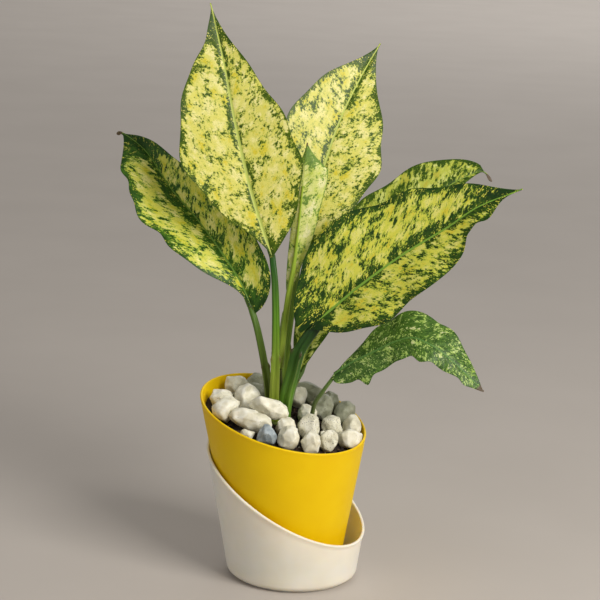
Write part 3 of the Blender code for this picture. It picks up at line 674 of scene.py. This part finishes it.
LEAVES = {
    "leaf_tall_front": Leaf(
        rib=[(-23, -4, 234), (-30, -3, 252), (-41, 1, 283), (-52, 9, 322), (-63, 20, 367), (-74, 32, 406)],
        faces=((0, -1, 0.15), (0, -1, 0.3)),
        left=Side(43, 0.49, 3.3, 8, 0, ((0.60, -4, 0.08), (0.85, -3, 0.05))),
        right=Side(39.5, 0.36, 2.7, 8, 0), ruffle=(1.2, 3.5, 0.6), radii=(3.5, 2.1), sheath=0.42,
        stalk=[*ring_foot(243, 3.5), (-17.8, -6.4, 138), (-18, -8, 170), (-20, -6, 210)]),
    "leaf_upper_right": Leaf(
        rib=[(-5, 22, 220), (4, 31, 266), (14, 46, 304), (23, 58, 330), (35, 72, 355), (48, 84, 378)],
        faces=((0.1, -1, 0.3), (0.2, -1, 0.3)),
        left=Side(36.5, 0.54, 3.6, 8, 0), right=Side(38, 0.49, 3.4, 8, 0),
        ruffle=(1.2, 3.5, 2.0), radii=(3.0, 1.9), sheath=0.5, flap=Flap(270, 16, 4.2, 0.18, 0.86),
        stalk=[*ring_foot(70, 3.0), (-12, 9, 138), (-10, 13, 170), (-7, 18, 200)]),
    "leaf_folded_left": Leaf(
        rib=[(-36.5, 6, 195), (-46, 12, 213), (-62, 20, 234), (-80, 30, 254), (-99, 42, 272),
             (-118, 56, 295), (-135, 65, 306), (-141, 66, 306)],
        faces=((0.25, -1, 0.3), (0.3, -1, 0.4)),
        left=Side(40.2, 0.56, 2.7, 20, 0, ((0.475, -8, 0.068), (0.64, -4, 0.041), (0.72, -6, 0.049),
                                          (0.845, 5.8, 0.099))),
        right=Side(28.7, 0.33, 1.49, 33, 5), tip=Tip(0.965, 0.05, 0.0, 1.0), ruffle=(1.3, 3.0, 1.0),
        stalk=[*ring_foot(180, 3.0), (-22.5, 1.5, 138), (-26.5, 3, 158), (-32, 5, 180)], radii=(3.0, 2.2),
        sheath=0.50),
    "leaf_young_spear": Leaf(
        rib=[(-10.5, 9, 205), (-7.5, 10, 230), (-5.5, 12, 257), (-4, 14, 283), (-3.2, 15, 300),
             (-2, 16, 313)],
        faces=((0, 1, 0), (0.05, 1, 0)),
        left=Side(18, 0.81, 1.2, 0, 0), right=Side(6, 0.5, 0.8, 0, 0), roll=24,
        tip=Tip(1.0, 0.17, 1.1, 0.0), ruffle=(0.3, 2.0, 0.0),
        stalk=[(-14.5, 1.0, 152.8), (-13.5, 3.5, 170), (-12, 6.5, 190)], radii=(2.2, 2.2)),
    "leaf_broad_right": Leaf(
        rib=[(8, -12, 189), (21, -15, 202), (41, -21, 222), (68, -29, 246), (95, -39, 267),
             (115, -47, 284), (143, -56, 299)],
        faces=((-0.3, -0.9, 0.5), (-0.3, -0.8, 0.6)),
        left=Side(42.3, 0.36, 1.34, 8, 12, ((0.25, 8, 0.15),)),
        right=Side(36.2, 0.34, 3.0, 8, 5, ((0.635, 10, 0.12), (0.732, -2.6, 0.022), (0.846, 8.7, 0.049))),
        tip=Tip(1.0, 0.30, 0.43, 0.0), ruffle=(1.2, 3.5, 1.4),
        stalk=[*ring_foot(309, 4.2), (-8.2, -6.5, 136), (-4.8, -8, 152), (-0.6, -9.5, 170)],
        radii=(4.2, 4.2), sheath=0.72),
    "leaf_back_right": Leaf(
        rib=[(0, 18, 146), (9, 26, 172), (30, 42, 206), (65, 60, 246), (97, 76, 272), (126, 88, 286),
             (136, 89, 279)],
        faces=((-0.2, -1, 0.4), (-0.3, -0.8, 0.8)),
        left=Side(32.3, 0.59, 1.25, 8, 0), right=Side(14.3, 0.47, 1.72, 8, 0),
        tip=Tip(0.955, 0.05, 0.0, 0.7), ruffle=(1.4, 4.0, 0.0),
        stalk=[*ring_foot(12, 2.8), (-6.5, 5.5, 129), (-4, 12, 138)], radii=(2.8, 2.3), sheath=0.8),
    "leaf_old_drooping": Leaf(
        rib=[(24, -7, 152), (36, -10, 162), (50, -14, 171), (64, -18, 180), (77, -22, 185), (89, -26, 182),
             (101, -29, 175), (117, -33, 162), (128, -36, 152)],
        faces=((-0.2, -0.8, 0.8), (0.4, -0.8, 0.6)),
        left=Side(21.5, 0.53, 2.8, -6, 0),
        right=Side(14.6, 0.31, 0.99, -10, 3, ((0.185, 8, 0.034), (0.615, 3, 0.04), (0.895, 2, 0.035))),
        ruffle=(1.5, 4.5, 0.5),
        stalk=[(9, -8, 104), (10.5, -8, 127), (16, -7.5, 138)], radii=(1.7, 1.3)),
}
print(len(LEAVES), "leaves")

# %% Midrib curve and outline
SPLINE_STEPS = 24
LEAST_AT_BASE, LEAST_AT_TIP, LEAST_TAIL = 1.2, 0.45, 0.01
FOLD_NEEDS = 5.0


def smooth_path(points, count):
    """A Catmull-Rom curve through the points, cut into equal lengths."""
    guide = [Vector(point) for point in points]
    guide = [guide[0] * 2 - guide[1]] + guide + [guide[-1] * 2 - guide[-2]]
    dense = []
    for before, start, end, after in zip(guide, guide[1:], guide[2:], guide[3:]):
        for step in range(SPLINE_STEPS):
            s = step / SPLINE_STEPS
            dense.append(0.5 * (2 * start + (end - before) * s
                                + (2 * before - 5 * start + 4 * end - after) * s * s
                                + (3 * start - before - 3 * end + after) * s ** 3))
    dense = np.array([*dense, guide[-2]])
    lengths = np.append(0.0, np.linalg.norm(np.diff(dense, axis=0), axis=1).cumsum())
    goals = np.linspace(0, lengths[-1], count)
    return np.stack([np.interp(goals, lengths, dense[:, axis]) for axis in range(3)], 1), lengths[-1]


def unit(rows):
    """Each row at length 1."""
    return rows / np.linalg.norm(rows, axis=-1, keepdims=True)


def ease(value):
    """A smooth step from 0 to 1."""
    value = np.clip(value, 0, 1)
    return value * value * (3 - 2 * value)


def leaf_frames(leaf, count):
    """Midrib points, direction of growth, face and right hand side, share and length along."""
    rib, length = smooth_path(leaf.rib, count)
    ahead = unit(np.gradient(rib, axis=0))
    share = np.linspace(0, 1, count)[:, None]
    face = np.array(leaf.faces[0]) * (1 - share) + np.array(leaf.faces[1]) * share
    face = unit(face - ahead * (face * ahead).sum(1, keepdims=True))
    return rib, ahead, face, np.cross(ahead, face), share[:, 0], length


def half_width(share, side, tip):
    """Half width along the leaf: round at the base, drawn out at the tip, with bumps in the margin."""
    grown = np.minimum(share / tip.end, 1.0)
    peak = side.widest ** side.widest * (1 - side.widest) ** (1 - side.widest)
    full = (grown ** side.widest * (1 - grown) ** (1 - side.widest) / peak) ** side.taper
    full = full * side.width * np.minimum(1.0, (1 - grown) / tip.draw) ** tip.sharp
    full += sum(out * np.exp(-((share - at) / spread) ** 2) for at, out, spread in side.bumps)
    past = np.maximum(0.0, share - tip.end) / max(1 - tip.end, LEAST_TAIL)
    knob = tip.knob * np.sin(math.pi * past * past)
    return np.maximum(full, LEAST_AT_BASE * (1 - share) + LEAST_AT_TIP * share + knob)


# %% Blade surface
BLADE_ROWS = 176
HALF_COLUMNS = 24
BLADE_THICK, EDGE_THICK, EDGE_POWER = 0.55, 0.3, 6
VEIN_STEP = 7.5
VEIN_FORWARD, VEIN_BEND = 0.85, 0.012
PILLOW = 0.22
RIB_SUNK_WIDE, RIB_SUNK_DEEP = 1.5, 0.45
RUFFLE_SCALLOP, SCALLOP_PACE, SIDE_PHASE = 0.035, 1.3, 2.0
SIDES_APART = 90.0


def blade_grid(leaf, slant):
    """Middle surface of the blade in mm, with the places that the colours are painted by."""
    rib, ahead, face, right, share, length = leaf_frames(leaf, BLADE_ROWS)
    height, waves, phase = leaf.ruffle
    along = share * length
    steps = np.linspace(-1, 1, 2 * HALF_COLUMNS + 1)
    across = np.sign(steps) * (0.5 * np.abs(steps) + 0.5 * ease(np.abs(steps)))
    points, places, veins = [], [], []
    for u in across:
        side = leaf.right if u > 0 else leaf.left
        half = half_width(share, side, leaf.tip)
        lift = math.radians(side.lift + leaf.roll * abs(u)) * np.minimum(1.0, half / FOLD_NEEDS)
        turn = 2 * math.pi * waves * share + phase + (SIDE_PHASE if u > 0 else 0.0)
        wave = height * np.sin(math.pi * share) ** 0.5 * u * u * np.sin(turn)
        reach = abs(u) * half * (1.0 + RUFFLE_SCALLOP * np.cos(turn * SCALLOP_PACE))
        back = side.lobe * abs(u) ** 1.5 * (1 - share) ** 5
        vein = along - VEIN_FORWARD * reach - VEIN_BEND * reach * reach
        swell = np.abs(np.sin(math.pi * vein / VEIN_STEP)) ** 0.7 - 0.6
        fade = np.clip(reach / 4, 0, 1) * np.clip((1 - abs(u)) * 3, 0, 1)
        sunk = RIB_SUNK_DEEP * np.exp(-(reach / RIB_SUNK_WIDE) ** 2) * np.minimum(1, half / 6)
        relief = PILLOW * swell * fade - sunk + wave + reach * np.sin(lift)
        out = np.copysign(reach * np.cos(lift), u) if u else 0 * reach
        points.append(rib + right * out[:, None] + face * relief[:, None] - ahead * back[:, None])
        margin = half * (1 - abs(u)) + (1 - share) * length * 0.25 * abs(u)
        places.append(np.stack([reach, along, np.minimum(half * (1 - abs(u)), margin)], 1))
        apart = np.full(BLADE_ROWS, SIDES_APART * np.sign(u))
        veins.append(np.stack([along - slant * reach, reach * (1 + 0.3 * slant), apart], 1))
    shares = np.broadcast_to(share[:, None], (BLADE_ROWS, len(across)))
    return (np.stack(points, 1), np.stack(places, 1), np.stack(veins, 1), shares,
            np.broadcast_to(across, shares.shape))


def grid_faces(rows, columns, first, closed=False):
    """Quads of a grid whose points run row by row."""
    faces = []
    for row in range(rows - 1):
        for column in range(columns if closed else columns - 1):
            a = first + row * columns + column
            b = first + row * columns + (column + 1) % columns
            faces.append((a, b, b + columns, a + columns))
    return faces


# %% Stalk surface
STALK_RINGS, STALK_SIDES = 80, 36
RIB_STATIONS = 40
RIB_LEAST, RIB_SUNK, RIB_END, RIB_TAPER = 0.7, -0.38, 0.72, 1.8
CHANNEL_DEEP, CHANNEL_WIDE = 0.34, 26.0
WING_HIGH, WING_WIDE, WING_AT = 0.36, 12.0, 46.0
POINT_HIGH, POINT_LONG = 1.5, 0.028
SKIN_ROUND = 4.0
STALK_DEEP, STALK_WIDE = 0.94, 1.04


def stalk_grid(leaf):
    """Rings of the stalk and of the rib under the blade, their places and how pale and dry they are."""
    sheath, flap = leaf.sheath, leaf.flap
    rib, _, face, _, share, _ = leaf_frames(leaf, RIB_STATIONS)
    rib_radius = np.maximum(leaf.radii[1] * (1 - share) ** RIB_TAPER, RIB_LEAST)
    under = rib - face * (rib_radius - RIB_SUNK)[:, None]
    route, _ = smooth_path([*leaf.stalk, tuple(under[0])], STALK_RINGS)
    keep = share < RIB_END
    route = np.concatenate([route, under[keep][1:]])
    radius = np.concatenate([np.linspace(*leaf.radii, STALK_RINGS), rib_radius[keep][1:]])
    length = np.append(0.0, np.linalg.norm(np.diff(route, axis=0), axis=1).cumsum())
    tangent = unit(np.gradient(route, axis=0))
    facing = np.concatenate([np.broadcast_to(face[0], (STALK_RINGS, 3)), face[keep][1:]])
    facing = unit(facing - tangent * (facing * tangent).sum(1, keepdims=True))
    sideways = np.cross(tangent, facing)
    portion = np.arange(len(route)) / (STALK_RINGS - 1)
    on_stalk = np.clip((1.0 - portion) * 6, 0, 1)
    winged = np.clip((sheath - portion) * 14, 0, 1)
    point = np.exp(-((portion - sheath + POINT_LONG) / POINT_LONG) ** 2) * (sheath > 0)
    flapped = np.clip((portion - flap.start) * 6, 0, 1) * np.clip((flap.end - portion) * 6, 0, 1)
    rings, places, bits = [], [], []
    for turn in np.linspace(0, 360, STALK_SIDES, endpoint=False):
        off = min(turn, 360 - turn)
        channel = CHANNEL_DEEP * math.exp(-(off / CHANNEL_WIDE) ** 2) * on_stalk
        crest = math.exp(-((off - WING_AT) / WING_WIDE) ** 2)
        lobe = math.exp(-((turn - flap.turn) / flap.wide) ** 2)
        reach = radius * (1 - channel + WING_HIGH * crest * winged) + POINT_HIGH * crest * point
        reach = (reach + flap.reach * lobe * flapped)[:, None]
        swing = math.radians(turn)
        rings.append(route + facing * math.cos(swing) * reach * STALK_DEEP
                     + sideways * math.sin(swing) * reach * STALK_WIDE)
        places.append(np.stack([np.full(len(route), SKIN_ROUND * math.cos(swing)),
                                np.full(len(route), SKIN_ROUND * math.sin(swing)), length], 1))
        edge = np.maximum(crest ** 3 * winged, lobe * flapped * (flap.reach > 0))
        bits.append(np.stack([edge, portion, crest ** 2 * point ** 2], 1))
    return np.stack(rings, 1), np.stack(places, 1), np.stack(bits, 1)


# %% [markdown]
# ## Where a leaf is green
# Variegation is a lack of leaf green that starts along the side veins. It leaves a green edge, a green
# tip and base, green clusters along the midrib and scattered green flecks. How green each place tends to
# be is worked out here for every point from its distance to the edge, the rib and the tip. The shader
# then breaks this smooth tendency up with noise, which gives the flecks their ragged shapes. A leaf
# whose tip isn't dry starts to dry past its end.

# %% Greenness
Pattern = namedtuple("Pattern", "slant cover edge edge_gain rib rib_gain tip base base_gain patch clump "
                                "rib_wide dry_from", defaults=[2.0])
PATTERNS = {
    "leaf_tall_front": Pattern(0.35, 0.30, 3.6, 0.50, 3.8, 0.32, 0.80, 0.10, 0.40, 0.18, 9.0, 1.25),
    "leaf_upper_right": Pattern(0.35, 0.34, 3.6, 0.50, 3.8, 0.30, 0.84, 0.05, 0.30, 0.18, 9.0, 1.0),
    "leaf_folded_left": Pattern(0.85, 0.36, 3.8, 0.62, 6.0, 0.38, 0.80, 0.10, 0.24, 0.20, 12.0, 0.75, 0.968),
    "leaf_young_spear": Pattern(0.30, 0.28, 1.4, 0.30, 1.0, 0.00, 0.80, 0.02, 0.30, 0.18, 8.0, 0.0, 0.975),
    "leaf_broad_right": Pattern(0.85, 0.39, 4.8, 0.60, 5.0, 0.34, 0.77, 0.15, 0.26, 0.20, 13.0, 0.85),
    "leaf_back_right": Pattern(0.90, 0.42, 2.4, 0.52, 2.5, 0.15, 0.97, 0.42, -0.12, 0.20, 11.0, 0.7, 0.962),
    "leaf_old_drooping": Pattern(0.45, 0.78, 1.2, 0.06, 2.5, 0.10, 0.95, 0.20, 0.10, 0.30, 7.0, 0.5, 0.955),
}
TIP_GAIN, RIM_GAIN, RIM_MM = 0.55, 0.5, 0.7
EDGE_RAGGED, RIB_RAGGED = 1.6, 1.8
DRY_STEP = 0.012


def painted(name, places, share, end):
    """Greenness, place across the midrib in rib widths, and dryness, for each point of a blade."""
    pattern = PATTERNS[name]
    seed = len(name)
    reach, along, margin = places[..., 0], places[..., 1], places[..., 2]
    across = reach * np.where(np.arange(reach.shape[1]) < reach.shape[1] // 2, -1.0, 1.0)

    def blobs(wide, long, seed):
        spots = zip(across.ravel() / wide, along.ravel() / long)
        return np.array([noise.noise(Vector((*spot, seed))) for spot in spots]).reshape(reach.shape)

    clump = blobs(pattern.clump * 0.7, pattern.clump, seed)
    border = blobs(6.0, 9.0, 40 + seed)
    beside = blobs(5.0, 9.0, 70 + seed)
    green = pattern.cover + pattern.patch * clump * 2
    green += pattern.edge_gain * np.exp(-(margin / pattern.edge) ** 1.5) * (1 + EDGE_RAGGED * border)
    green += pattern.rib_gain * np.exp(-(reach / pattern.rib) ** 2) * (1 + RIB_RAGGED * beside)
    green += TIP_GAIN * ease((share / end - pattern.tip + 0.05 * border) / (1 - pattern.tip) * 1.6)
    green += pattern.base_gain * ease((pattern.base - share) / max(pattern.base, 0.001) * 1.5)
    green += RIM_GAIN * ease(1.0 - margin / RIM_MM)
    rib_half = pattern.rib_wide * (1 - share) ** 0.6 + 0.25 * (pattern.rib_wide > 0)
    rib_half = rib_half * ease(share / 0.09) + 0.02
    dry = ease((share - pattern.dry_from) / DRY_STEP)
    return np.stack([green, reach / rib_half, dry], -1)


# %% Leaf meshes
LEAF_CRISP = 60


def leaf_mesh(name, leaf):
    """Both faces and the edge of the blade, and the stalk, in one mesh with its painted places."""
    grid, places, veins, share, across = blade_grid(leaf, PATTERNS[name].slant)
    rows, columns = share.shape
    along_rows, along_columns = np.gradient(grid, axis=0), np.gradient(grid, axis=1)
    normal = unit(np.cross(along_columns, along_rows))
    thick = (EDGE_THICK + (BLADE_THICK - EDGE_THICK) * (1 - np.abs(across) ** EDGE_POWER))[..., None] / 2
    bits = painted(name, places, share, leaf.tip.end)
    rings, ring_places, ring_bits = stalk_grid(leaf)
    count = rows * columns
    points = np.concatenate([(grid + normal * thick).reshape(-1, 3), (grid - normal * thick).reshape(-1, 3),
                             rings.reshape(-1, 3)])
    upper = grid_faces(rows, columns, 0)
    lower = [face[::-1] for face in grid_faces(rows, columns, count)]
    spots = np.arange(count).reshape(rows, columns)
    border = np.concatenate([spots[:, 0], spots[-1, 1:], spots[-2::-1, -1], spots[0, -2:0:-1]]).tolist()
    edge = [(a, b, b + count, a + count) for a, b in zip(border, border[1:] + border[:1])]
    first = 2 * count
    tube = [face[::-1] for face in grid_faces(len(rings), STALK_SIDES, first, closed=True)]
    last = first + (len(rings) - 1) * STALK_SIDES
    caps = [tuple(range(first, first + STALK_SIDES)), tuple(range(last, last + STALK_SIDES))[::-1]]
    mesh = bpy.data.meshes.new(name)
    mesh.from_pydata(points * MM, [], [*upper, *lower, *edge, *tube, *caps])
    kinds = [0] * len(upper) + [1] * len(lower) + [0] * len(edge) + [2] * (len(tube) + 2)
    mesh.polygons.foreach_set("material_index", kinds)
    for label, on_blade, on_stalk in (("place_mm", veins, ring_places), ("leaf_bits", bits, ring_bits)):
        values = np.concatenate([on_blade.reshape(-1, 3)] * 2 + [on_stalk.reshape(-1, 3)])
        mesh.attributes.new(label, "FLOAT_VECTOR", "POINT").data.foreach_set("vector", values.ravel())
    smooth(mesh, LEAF_CRISP)
    return mesh


# %% [markdown]
# ## Leaf skin
# A living blade is a thin wet sheet under a waxy skin: the wax gives a soft sheen with an IOR near
# 1.45, and light passes through, so the blade glows where it is lit from behind. The colours go from
# cream through yellow and light green to olive green, as the noise and the greenness ask. Flecks are
# 2.1 to 2.6 mm wide and up to 4.4 mm long, drawn along the side veins, and gather in looser clusters.
# Small pale specks are left in the green, where single groups of cells lack their leaf green.

# %% Leaf blade material
Grain = namedtuple("Grain", "cluster fleck dust blot")
ROUND_GRAIN = Grain((6.5, 6.5), (2.1, 2.6), (0.9, 1.1), 0.30)
STREAKY_GRAIN = Grain((6.5, 10.0), (2.6, 4.4), (1.0, 1.4), 0.42)
FINE_GRAIN = Grain((6.0, 7.0), (2.2, 2.8), (0.9, 1.2), 0.50)
GLOW_MM, DAPPLE_MM = 11.0, 3.2
WAX_IOR = 1.45
DRY_LEAF = "5A4A38"
Skin = namedtuple("Skin", "cream yellow gold lime green dark rib")


def blade_skin(name, skin, grain, specks, roughness, glowing):
    """Variegated leaf skin painted by the places stored in the mesh."""
    material = new_material(name)
    veins = add(material, "Attribute", attribute_name="place_mm").outputs["Vector"]
    bits = add(material, "Attribute", attribute_name="leaf_bits").outputs["Vector"]
    greenness, rib_place, dryness = add(material, "SeparateXYZ", {"Vector": bits}).outputs
    field = {}
    for layer, (wide, long), detail, shift in (
            ("cluster", grain.cluster, 2.0, 0.0), ("fleck", grain.fleck, 3.0, 0.0),
            ("dust", grain.dust, 1.0, 0.0), ("glow", (GLOW_MM, GLOW_MM), 1.0, 0.0),
            ("dapple", (DAPPLE_MM, DAPPLE_MM), 3.0, 7.3), ("pin", grain.dust, 1.0, 5.1),
            ("pin_blot", grain.fleck, 2.0, 11.7)):
        scaled = add(material, "VectorMath", {
            0: veins, 1: (1 / wide, 1 / long, 1.0), 2: (shift, shift, 0.0)}, operation="MULTIPLY_ADD")
        field[layer] = add(material, "TexNoise", {
            "Vector": scaled, "Scale": 1.0, "Detail": detail, "Roughness": 0.6})
    for layer, share, one, other in (
            ("small", 0.30, "fleck", "dust"), ("both", 0.68, "cluster", "small"),
            ("tint", 0.30, "glow", "dapple"), ("pinned", grain.blot, "pin", "pin_blot")):
        field[layer] = add(material, "Mix", {
            "Factor": share, "A": field[one], "B": field[other]}, data_type="FLOAT")
    for layer, base, source, swing in (("green", greenness, "both", -0.72),
                                       ("speck", field["pinned"], "cluster", 0.07)):
        shift = add(material, "MapRange", {
            "Value": field[source], "From Min": 0.3, "From Max": 0.7, "To Min": -swing, "To Max": swing})
        field[layer] = add(material, "Math", {0: base, 1: shift}, operation="ADD")
    coats = {
        "pale": add(material, "ValToRGB", {"Fac": field["tint"]}, stops=(
            (0.42, skin.cream), (0.50, skin.yellow), (0.56, skin.yellow), (0.62, skin.gold))),
        "deep": add(material, "ValToRGB", {"Fac": field["small"]}, stops=(
            (0.38, skin.dark), (0.62, skin.green))),
    }
    for coat, amount, start, full, most, paint in (
            ("deep", greenness, 0.85, 1.35, 1.0, skin.dark),
            ("pale", field["dust"], 0.50, 0.72, 0.45, skin.lime),
            ("pale", field["green"], 0.34, 0.50, 1.0, skin.lime),
            ("pale", field["green"], 0.50, 0.60, 1.0, "deep"),
            ("pale", field["speck"], 1 - specks, 1.04 - specks, 0.9, skin.yellow),
            ("pale", rib_place, 1.15, 0.7, 1.0, skin.rib),
            ("pale", dryness, 0.0, 1.0, 1.0, DRY_LEAF)):
        cover = add(material, "MapRange", {
            "Value": amount, "From Min": start, "From Max": full, "To Max": most})
        paint = coats[paint] if paint in coats else linear(paint)
        coats[coat] = add(material, "Mix", {"Factor": cover, "A": coats[coat], "B": paint}, data_type="RGBA")
    rough = add(material, "MapRange", {"Value": field["fleck"], "From Min": 0.3, "From Max": 0.7,
                                       "To Min": roughness - 0.05, "To Max": roughness + 0.08})
    bump = add(material, "Bump", {"Height": field["small"], "Strength": 0.3, "Distance": 0.15 * MM})
    shader = add(material, "BsdfPrincipled", {
        "Base Color": coats["pale"], "Roughness": rough, "IOR": WAX_IOR, "Normal": bump,
        "Specular IOR Level": 0.28, "Subsurface Weight": glowing, "Subsurface Radius": (0.9, 1.0, 0.3),
        "Subsurface Scale": 1.6 * MM})
    add(material, "OutputMaterial", {"Surface": shader})
    return material


# %% [markdown]
# ## Stalk skin
# The stalks are smooth and fleshy: yellow green where they are sheathed at the foot, deeper green
# higher up. Fibres run along them as fine lighter and darker lines. The thin wings of a sheath are
# paler, and each ends in a small dry point.

# %% Leaf stalk material
FIBRE_WIDE, FIBRE_LONG = 1.0, 22.0
WING_PALE, WING_DRY = "A3B25C", "5C4030"


def stalk_skin(name, foot, middle, top):
    """Fleshy stalk that changes colour from its foot to the blade."""
    material = new_material(name)
    place = add(material, "Attribute", attribute_name="place_mm").outputs["Vector"]
    bits = add(material, "Attribute", attribute_name="leaf_bits").outputs["Vector"]
    wing, portion, dryness = add(material, "SeparateXYZ", {"Vector": bits}).outputs
    colour = add(material, "ValToRGB", {"Fac": portion}, stops=(
        (0.0, foot), (0.25, foot), (0.6, middle), (0.95, top)))
    thread = (1 / FIBRE_WIDE, 1 / FIBRE_WIDE, 1 / FIBRE_LONG)
    scaled = add(material, "VectorMath", {0: place, 1: thread}, operation="MULTIPLY")
    fibre = add(material, "TexNoise", {"Vector": scaled, "Scale": 1.0, "Detail": 2.0})
    shade = add(material, "ValToRGB", {"Fac": fibre}, stops=((0.3, "8C8C8C"), (0.7, "FFFFFF")))
    pale = add(material, "MapRange", {"Value": wing, "From Min": 0.5, "From Max": 1.0, "To Max": 0.7})
    for cover, paint, blend in ((0.6, shade, "MULTIPLY"), (pale, linear(WING_PALE), "MIX"),
                                (dryness, linear(WING_DRY), "MIX")):
        colour = add(material, "Mix", {
            "Factor": cover, "A": colour, "B": paint}, data_type="RGBA", blend_type=blend)
    bump = add(material, "Bump", {"Height": fibre, "Strength": 0.3, "Distance": 0.15 * MM})
    shader = add(material, "BsdfPrincipled", {
        "Base Color": colour, "Roughness": 0.38, "IOR": WAX_IOR, "Normal": bump, "Specular IOR Level": 0.32,
        "Subsurface Weight": 0.12, "Subsurface Radius": (0.8, 1.0, 0.2), "Subsurface Scale": 1.2 * MM})
    add(material, "OutputMaterial", {"Surface": shader})
    return material


# %% Leaves in place
PALE_SKIN = Skin("EAE298", "DCD670", "D8C83A", "A0AC3E", "586E0E", "2E4A06", "BCC862")
LOW_SKIN = Skin("E6E08E", "D4D25A", "CCC430", "8CAA36", "447018", "1E4208", "729640")
MIXED_SKIN = Skin("F0EA84", "E2E058", "E4D03C", "9EB43A", "40640E", "183806", "86B040")
# Painted shade: the leaf at the back wears the mixed skin painted darker, because it stands in shade behind
# the broad leaf.
SHADED_BACK_SKIN = Skin("CCD07C", "B8BE50", "B6B040", "7E9030", "425C0C", "2A4606", "86A040")
OLD_SKIN = Skin("DCD8AC", "B2C872", "98B04C", "6C8E38", "5A7E30", "2A4A16", "5A8440")
SPEAR_SKIN = Skin("E2E0AC", "D2D686", "C2CC5C", "A0B44E", "7C9844", "628234", "98AE50")
Look = namedtuple("Look", "skin slot stalk grain specks")
LOOKS = {
    "leaf_tall_front": Look(PALE_SKIN, "pale_leaf", ("86982E", "5E8A1C", "2C5E1C"), ROUND_GRAIN, 0.41),
    "leaf_upper_right": Look(PALE_SKIN, "pale_leaf", ("7A9430", "7A9C34", "8CA84C"), ROUND_GRAIN, 0.41),
    "leaf_folded_left": Look(LOW_SKIN, "pale_leaf", ("7A8C38", "66802C", "668A34"), STREAKY_GRAIN, 0.42),
    "leaf_young_spear": Look(SPEAR_SKIN, "young_leaf", ("98AC3C", "9CB838", "A6C23E"), FINE_GRAIN, 0.38),
    "leaf_broad_right": Look(MIXED_SKIN, "green_leaf", ("66922C", "38601A", "1C3C10"), STREAKY_GRAIN, 0.43),
    "leaf_back_right": Look(SHADED_BACK_SKIN, "green_leaf", ("4E6E22", "4A6A26", "5A7832"), STREAKY_GRAIN, 0.40),
    "leaf_old_drooping": Look(OLD_SKIN, "green_leaf", ("5A6238", "5A6A36", "6A8A40"), FINE_GRAIN, 0.44),
}
MATT_GREY, MATT_SHARE = (176, 190, 140), 0.15
UPPER_ROUGH, UNDER_ROUGH = 0.42, 0.58
LEAF_GLOW, YOUNG_GLOW = 0.35, 0.7


def duller(skin):
    """The colours of a blade's underside: paler and greyer, because the skin there is matt."""
    def wash(code):
        values = [int(code[at:at + 2], 16) for at in (0, 2, 4)]
        mixed = [value * (1 - MATT_SHARE) + MATT_SHARE * grey for value, grey in zip(values, MATT_GREY)]
        return "".join(f"{round(value):02X}" for value in mixed)

    return Skin(*(wash(code) for code in skin))


for name, leaf in LEAVES.items():
    look = LOOKS[name]
    rolled = name == "leaf_young_spear"
    glowing = YOUNG_GLOW if rolled else LEAF_GLOW
    finishes = [blade_skin(name + side, skin, look.grain, look.specks, roughness, glowing)
                for side, skin, roughness in (("_upper_skin", look.skin, UPPER_ROUGH),
                                              ("_under_skin", duller(look.skin), UNDER_ROUGH))]
    if rolled:
        finishes.reverse()
    finishes.append(stalk_skin(name + "_stalk_skin", *look.stalk))
    show(name + "_grown", leaf_mesh(name, leaf), finishes, [name])
